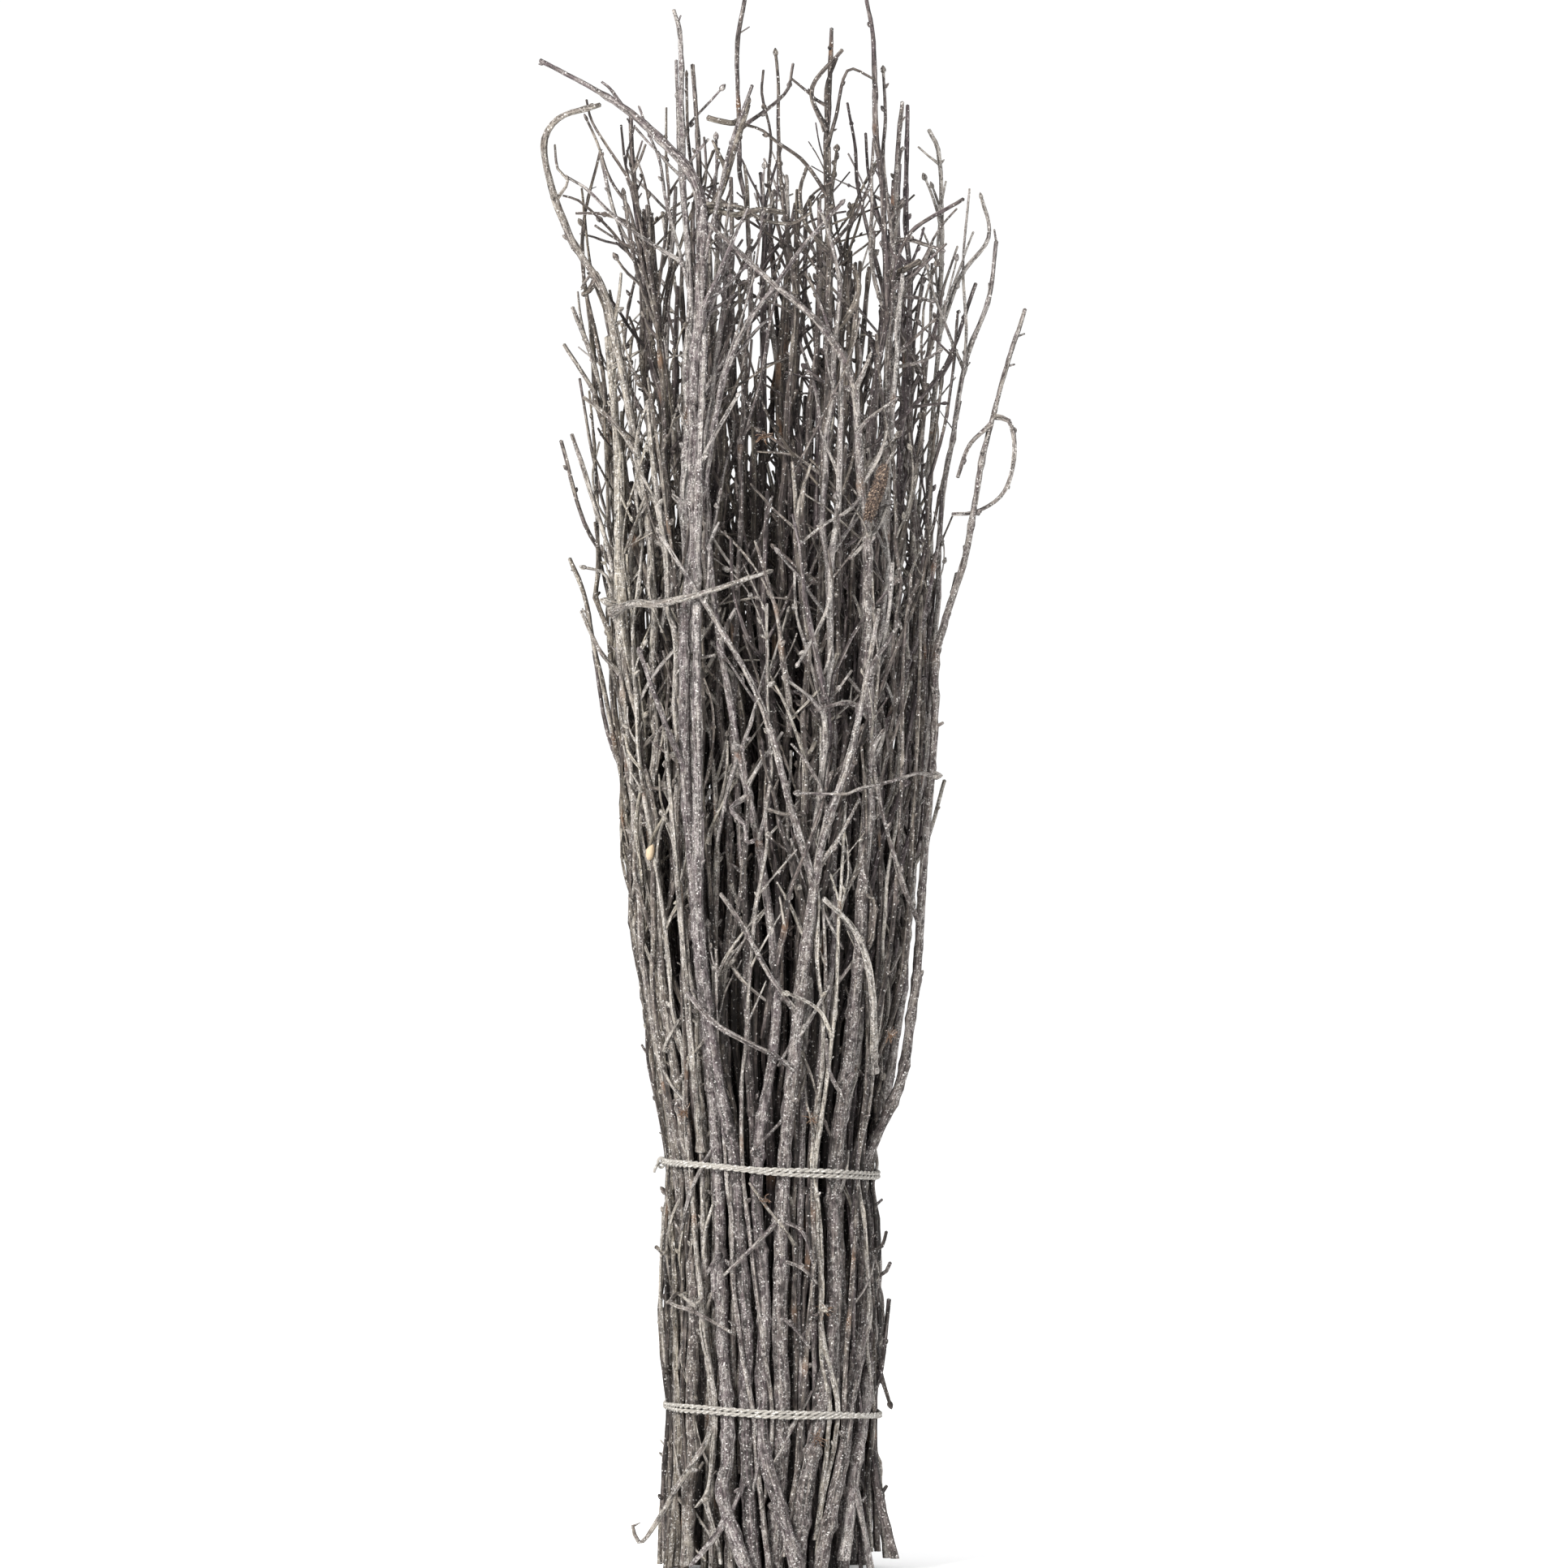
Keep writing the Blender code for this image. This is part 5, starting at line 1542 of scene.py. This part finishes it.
class Nodes:
    """A short way to write a material's nodes."""

    def __init__(self, name):
        self.material = bpy.data.materials.new(name)
        self.material.use_nodes = True
        self.tree = self.material.node_tree
        self.shader = self.tree.nodes["Principled BSDF"]

    def node(self, kind, **settings):
        node = self.tree.nodes.new(kind)
        for key, value in settings.items():
            setattr(node, key, value)
        return node

    def link(self, source, target):
        self.tree.links.new(source, target)

    def attribute(self, name, output="Fac"):
        return self.node("ShaderNodeAttribute", attribute_name=name).outputs[output]

    def put(self, value, socket):
        """Sets a socket to a number or a colour, or links an output to it."""
        if isinstance(value, tuple):
            socket.default_value = (*value, 1)
        elif isinstance(value, (int, float)):
            socket.default_value = value
        else:
            self.link(value, socket)

    def noise(self, vector, scale, detail=3.0, roughness=0.6, stretch=(1, 1, 1)):
        mapping = self.node("ShaderNodeMapping")
        mapping.inputs["Scale"].default_value = stretch
        self.link(vector, mapping.inputs["Vector"])
        node = self.node("ShaderNodeTexNoise")
        node.inputs["Scale"].default_value = scale
        node.inputs["Detail"].default_value = detail
        node.inputs["Roughness"].default_value = roughness
        self.link(mapping.outputs[0], node.inputs["Vector"])
        return node.outputs["Fac"]

    def cells(self, vector, scale):
        node = self.node("ShaderNodeTexVoronoi")
        node.inputs["Scale"].default_value = scale
        self.link(vector, node.inputs["Vector"])
        split = self.node("ShaderNodeSeparateColor")
        self.link(node.outputs["Color"], split.inputs[0])
        return split.outputs[0], node.outputs["Distance"]

    def math(self, operation, *values, clamp=False):
        node = self.node("ShaderNodeMath", operation=operation, use_clamp=clamp)
        for socket, value in zip(node.inputs, values):
            self.put(value, socket)
        return node.outputs[0]

    def remap(self, value, low, high, to_low=0.0, to_high=1.0):
        node = self.node("ShaderNodeMapRange")
        for socket, number in zip(node.inputs, (value, low, high, to_low, to_high)):
            self.put(number, socket)
        return node.outputs["Result"]

    def mix(self, factor, first, second):
        node = self.node("ShaderNodeMix", data_type="RGBA")
        for socket, value in ((0, factor), (6, first), (7, second)):
            self.put(value, node.inputs[socket])
        return node.outputs[2]

    def bump(self, height, distance, strength=1.0):
        node = self.node("ShaderNodeBump")
        node.inputs["Distance"].default_value = distance
        node.inputs["Strength"].default_value = strength
        self.link(height, node.inputs["Height"])
        self.link(node.outputs[0], self.shader.inputs["Normal"])


# The colours of the bark: in its cracks and in painted shade, plain and pale, cool and warm,
# of the frost and its flecks with their painted glints, and of bare wood. Those of cut ends,
# the twine and the catkin follow.
BARK_DARK_AND_SHADE = (0.010, 0.0080, 0.0074)
BARK_COOL = (0.075, 0.057, 0.062)
BARK_WARM = (0.080, 0.065, 0.049)
PALE_COOL = (0.217, 0.199, 0.189)
PALE_WARM = (0.250, 0.224, 0.182)
FROST_COLOUR = (0.34, 0.322, 0.298)
FROST_FLECK_AND_GLINT_COLOUR = (0.64, 0.62, 0.60)
BARE_COLOUR = (0.11, 0.060, 0.033)
WOOD_COLOURS = (0.30, 0.22, 0.14), (0.45, 0.36, 0.25)
PITH_COLOUR = (0.12, 0.07, 0.04)
RIM_COLOUR = (0.07, 0.055, 0.05)
TWINE_COLOURS = (0.10, 0.092, 0.08), (0.36, 0.34, 0.31)
TWINE_FROST = (0.50, 0.49, 0.47)
SCALE_AND_GAP_SHADE_COLOURS = (0.075, 0.045, 0.030), (0.015, 0.009, 0.007)
SCALE_TIPS = (0.20, 0.145, 0.105)


def bark_material():
    """Grey-brown bark with fibres and painted shade on the inner stems, under a sandy frost with a few
    painted glints on its flecks.
    """
    n = Nodes("frosted_bark")
    grain = n.attribute("grain", "Vector")
    fibres = n.noise(grain, 1.5, detail=4, roughness=0.68, stretch=(1, 1, 0.11))
    streaks = n.noise(grain, 0.9, detail=3, roughness=0.6, stretch=(1, 1, 0.045))
    patches = n.noise(grain, 0.16, detail=2)
    tone = n.math("ADD", n.attribute("tone"), n.remap(patches, 0.3, 0.7, -0.25, 0.25), clamp=True)
    drift = n.remap(n.noise(grain, 0.36, detail=4, roughness=0.65), 0.38, 0.66)
    pale = n.math("ADD", n.attribute("pale"), n.remap(drift, 0, 1, -0.2, 0.2))
    pale = n.math("ADD", pale, n.remap(streaks, 0.4, 0.62, -0.45, 0.45))
    bark = n.mix(tone, BARK_COOL, BARK_WARM)
    # Paleness below zero darkens the bark: its own darker kinds, and painted shade on the stems inside
    # the bundle.
    colour = n.mix(n.math("MULTIPLY", pale, -1.6, clamp=True), bark, BARK_DARK_AND_SHADE)
    pale_bark = n.mix(tone, PALE_COOL, PALE_WARM)
    colour = n.mix(n.math("MAXIMUM", n.math("MINIMUM", pale, 1.0), 0.0), colour, pale_bark)
    colour = n.mix(n.remap(fibres, 0.36, 0.56), BARK_DARK_AND_SHADE, colour)
    worn = n.remap(n.noise(grain, 0.7), 0.3, 0.5)
    bare = n.math("MULTIPLY", n.attribute("bare"), worn, clamp=True)
    colour = n.mix(bare, colour, BARE_COLOUR)
    frost = n.attribute("frost")
    lit = n.math("MULTIPLY", frost, n.remap(fibres, 0.40, 0.62, 0.3, 1.0))
    haze = n.math("MULTIPLY", n.math("MULTIPLY", lit, drift), 0.65)
    colour = n.mix(haze, colour, FROST_COLOUR)
    grain_cell, grain_distance = n.cells(grain, 2.1)
    threshold = n.math("SUBTRACT", 0.98, n.math("MULTIPLY", frost, n.remap(drift, 0, 1, 0.08, 0.44)))
    speckle = n.math("GREATER_THAN", grain_cell, threshold)
    colour = n.mix(n.math("MULTIPLY", speckle, 0.27), colour, FROST_FLECK_AND_GLINT_COLOUR)
    pits = n.math("LESS_THAN", grain_cell, 0.10)
    colour = n.mix(n.math("MULTIPLY", pits, 0.6), colour, BARK_DARK_AND_SHADE)
    # The brightest cells get painted glints of glitter: whitened colour, with a smoother finish.
    painted_glint = n.math("GREATER_THAN", grain_cell, 0.985)
    colour = n.mix(n.math("MULTIPLY", painted_glint, 0.5), colour, FROST_FLECK_AND_GLINT_COLOUR)
    n.link(colour, n.shader.inputs["Base Color"])
    n.link(n.remap(painted_glint, 0, 1, 0.88, 0.35), n.shader.inputs["Roughness"])
    n.shader.inputs["Specular IOR Level"].default_value = 0.3
    crystals = n.math("MULTIPLY", speckle, n.remap(grain_distance, 0, 0.6, 1, 0))
    height = n.math("ADD", n.math("MULTIPLY", fibres, 0.8), n.math("MULTIPLY", crystals, 0.4))
    n.bump(height, 0.0007)
    return n.material


def cut_wood_material():
    """The cut end of a stem: a dark rim of bark, weathered wood and the pith."""
    n = Nodes("cut_wood")
    grain = n.attribute("grain", "Vector")
    core = n.attribute("core")
    wood = n.mix(n.noise(grain, 1.8, detail=3), *WOOD_COLOURS)
    colour = n.mix(n.remap(core, 0.10, 0.22), PITH_COLOUR, wood)
    colour = n.mix(n.remap(core, 0.78, 0.88), colour, RIM_COLOUR)
    n.link(colour, n.shader.inputs["Base Color"])
    n.shader.inputs["Roughness"].default_value = 0.9
    n.bump(n.noise(grain, 2.5), 0.0004)
    return n.material


def twine_material():
    """Pale grey twine, with fibres along its plies and specks of frost."""
    n = Nodes("pale_twine")
    grain = n.attribute("grain", "Vector")
    fibres = n.noise(grain, 2.4, detail=3, stretch=(1, 1, 0.25))
    colour = n.mix(fibres, *TWINE_COLOURS)
    cell, _ = n.cells(grain, 1.8)
    specks = n.math("MULTIPLY", n.math("GREATER_THAN", cell, 0.85), 0.6)
    colour = n.mix(specks, colour, TWINE_FROST)
    n.link(colour, n.shader.inputs["Base Color"])
    n.shader.inputs["Roughness"].default_value = 0.85
    n.bump(fibres, 0.0004)
    return n.material


def catkin_material():
    """Dry brown scales, darker towards their edges as painted shade between them."""
    n = Nodes("dry_catkin")
    grain = n.attribute("grain", "Vector")
    _, distance = n.cells(grain, 0.9)
    tips = n.noise(grain, 1.1, detail=2)
    # Darker towards each cell's edge, where the bump sinks: painted shade between the scales.
    colour = n.mix(n.remap(distance, 0.1, 0.7), *SCALE_AND_GAP_SHADE_COLOURS)
    colour = n.mix(n.remap(tips, 0.52, 0.62), colour, SCALE_TIPS)
    n.link(colour, n.shader.inputs["Base Color"])
    n.shader.inputs["Roughness"].default_value = 0.8
    n.bump(distance, -0.0008)
    return n.material


def add_catkin(skin, rng):
    """The dry catkin, its scales and its stalk."""
    stalk, _, _ = smooth(CATKIN_STALK, np.ones(4), 2.5)
    skin.tube(rng, stalk, np.linspace(0.9, 0.6, len(stalk)), 6, CATKIN_LOOK)
    body, _, along = smooth(CATKIN_LINE, np.ones(4), 0.6)
    share = along / along[-1]
    width = CATKIN_WIDTH * np.sin(math.pi * np.clip(share * 0.9 + 0.08, 0, 1)) ** 0.5
    skin.tube(rng, body, width * 0.8, 10, CATKIN_LOOK, slot=2, lumps=0.10)
    ahead = body[-1] - body[0]
    ahead /= np.linalg.norm(ahead)
    side = np.cross(ahead, (0, 0, 1))
    side /= np.linalg.norm(side)
    beside = np.cross(ahead, side)
    for k in range(1, len(body) - 1):
        for turn in range(5):
            angle = (turn + 0.5 * (k % 2)) * 2 * math.pi / 5 + rng.uniform(-0.2, 0.2)
            out = math.cos(angle) * side + math.sin(angle) * beside
            root = body[k] + out * width[k] * 0.62
            heading = out * 0.8 + ahead * rng.uniform(0.5, 1.0)
            scale = np.array([root, root + heading * 0.6, root + heading * 1.5])
            radii = np.array([0.42, 0.52, 0.14])
            skin.tube(rng, scale, radii, 5, CATKIN_LOOK, slot=2, lumps=0.15)


def ride(piece, slot, *nodes):
    """Puts a piece on the bundle's one body, in the place of these nodes."""
    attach(piece, "root")
    if nodes:
        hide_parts(*nodes)


def dress_group(name, stems, materials):
    """Thin twigs in one piece."""
    seed, step, sides, shoots, frost = THIN_GROUPS[name]
    rng = random.Random(seed)
    skin = Skin()
    for stem in stems:
        look = look_of(rng, stem, frost)
        dress_twig(skin, rng, [stem], look, step, sides, rng.randint(*shoots))
    return skin.make(name, materials)


def dress_solids(twigs, materials, catkin):
    """Every twig that is a solid, each in a piece of its own."""
    step, sides, shoots = SOLID_GRAIN
    for name, runs in twigs.items():
        rng = random.Random("bark of " + name)
        skin = Skin()
        look = look_of(rng, runs[0])
        if name in LOOKS:
            look = dict(zip(("tone", "pale", "frost"), LOOKS[name]))
        fine = [branch(points, first, last) for first, last, points in FINE_SHOOTS.get(name, [])]
        stray = ROUTED_STRAY if name in ROUTES else 1.0
        out = point_at(runs[0], LOWER_TIE)[0].xy.length
        slants = SLANTED_FEET if out > SLANTED_OUT and name not in ROUTES else 0.0
        thins = THINS.get(name, THINS["twig"])
        dress_twig(
            skin, rng, runs, look, step, sides, rng.randint(*shoots), fine, stray, slants, thins
        )
        own = materials
        if name == CATKIN_TWIG:
            add_catkin(skin, rng)
            own = [*materials, catkin]
        ride(skin.make(name + "_bark", own), "bark", name)


def dress_thin_twigs(twigs, materials):
    """The thin twigs: between the solid ones, outside, woven through them, and inside."""
    fillers = filler_stems([segments(runs) for runs in twigs.values()])
    half = math.ceil(len(fillers) / 2)
    outside = outside_stems([runs[0] for runs in twigs.values()])
    groups = {
        "thin_twigs_1": fillers[:half],
        "thin_twigs_2": fillers[half:],
        "outside_twigs": [stem for stem in outside if not hides_front_stem(stem, twigs)],
        "woven_twigs": [stem for stem in woven_stems() if not hides_front_stem(stem, twigs)],
    }
    for name, stems in groups.items():
        ride(dress_group(name, stems, materials), "bark")
    ride(dress_group("middle_twigs", middle_stems(), materials), "inner_bark", "inner_twigs")


def dress_front(materials):
    """The single shoots and marks that the photograph shows in front, in one piece."""
    rng = random.Random(300)
    skin = Skin()
    for first, last, points in CROSSING_SHOOTS:
        run, look = rooted(points, first, last)
        dress_shoot(skin, rng, run, look)
    for look, first, last, points in OTHER_SHOOTS:
        run, _ = rooted(points, first, last)
        dress_shoot(skin, rng, run, look)
    add_wound(skin, rng, *WOUND)
    for at, size in TUFTS:
        add_tuft(skin, rng, at, size)
    for at, size in KNOTS:
        add_knot(skin, rng, at, size)
    ride(skin.make("crossing_shoots", materials), "bark")


def add_camera():
    """A camera level with the middle of the picture, far off, that frames the photograph."""
    data = bpy.data.cameras.new("camera")
    data.sensor_width = 36.0
    data.lens = data.sensor_width * CAMERA_DISTANCE / (PICTURE_PX * PIXEL)
    data.clip_end = 50.0
    camera = bpy.data.objects.new("camera", data)
    centre = PICTURE_PX / 2
    at = Vector(((centre - MIDDLE_PX) * PIXEL, -CAMERA_DISTANCE, (GROUND_PX - centre) * PIXEL))
    camera.location = at * MM
    camera.rotation_euler = (math.radians(90), 0, 0)
    bpy.context.scene.collection.objects.link(camera)
    bpy.context.scene.camera = camera


def add_light(name, location, size, energy, colour):
    """A soft square light that faces the bundle's middle."""
    data = bpy.data.lights.new(name, "AREA")
    data.size = size
    data.energy = energy
    data.color = colour
    light = bpy.data.objects.new(name, data)
    light.location = location
    facing = Vector((0, 0, 0.3)) - light.location
    light.rotation_euler = facing.to_track_quat("-Z", "Y").to_euler()
    bpy.context.scene.collection.objects.link(light)


def add_studio():
    """A white floor, a white surround and two soft lights."""
    bpy.ops.mesh.primitive_circle_add(vertices=96, radius=12, fill_type="NGON", location=(0, 0, 0))
    floor = bpy.context.object
    floor.name = "floor"
    n = Nodes("white_floor")
    n.shader.inputs["Base Color"].default_value = (0.97, 0.97, 0.97, 1)
    n.shader.inputs["Roughness"].default_value = 0.9
    floor.data.materials.append(n.material)
    world = bpy.data.worlds.new("white_surround")
    world.use_nodes = True
    background = world.node_tree.nodes["Background"]
    background.inputs["Color"].default_value = (1, 1, 1, 1)
    background.inputs["Strength"].default_value = 1.05
    bpy.context.scene.world = world
    for name, light in LIGHTS.items():
        add_light(name, *light)
    bpy.context.scene.view_settings.view_transform = "Standard"


bark = [bark_material(), cut_wood_material()]
solid_twigs = all_twigs()
solid_stems = [runs[0] for runs in solid_twigs.values()]
dress_solids(solid_twigs, bark, catkin_material())
dress_thin_twigs(solid_twigs, bark)
dress_front(bark)
twine = twine_material()
for tie in TIES:
    dress_tie(tie, solid_stems, twine)
add_camera()
add_studio()
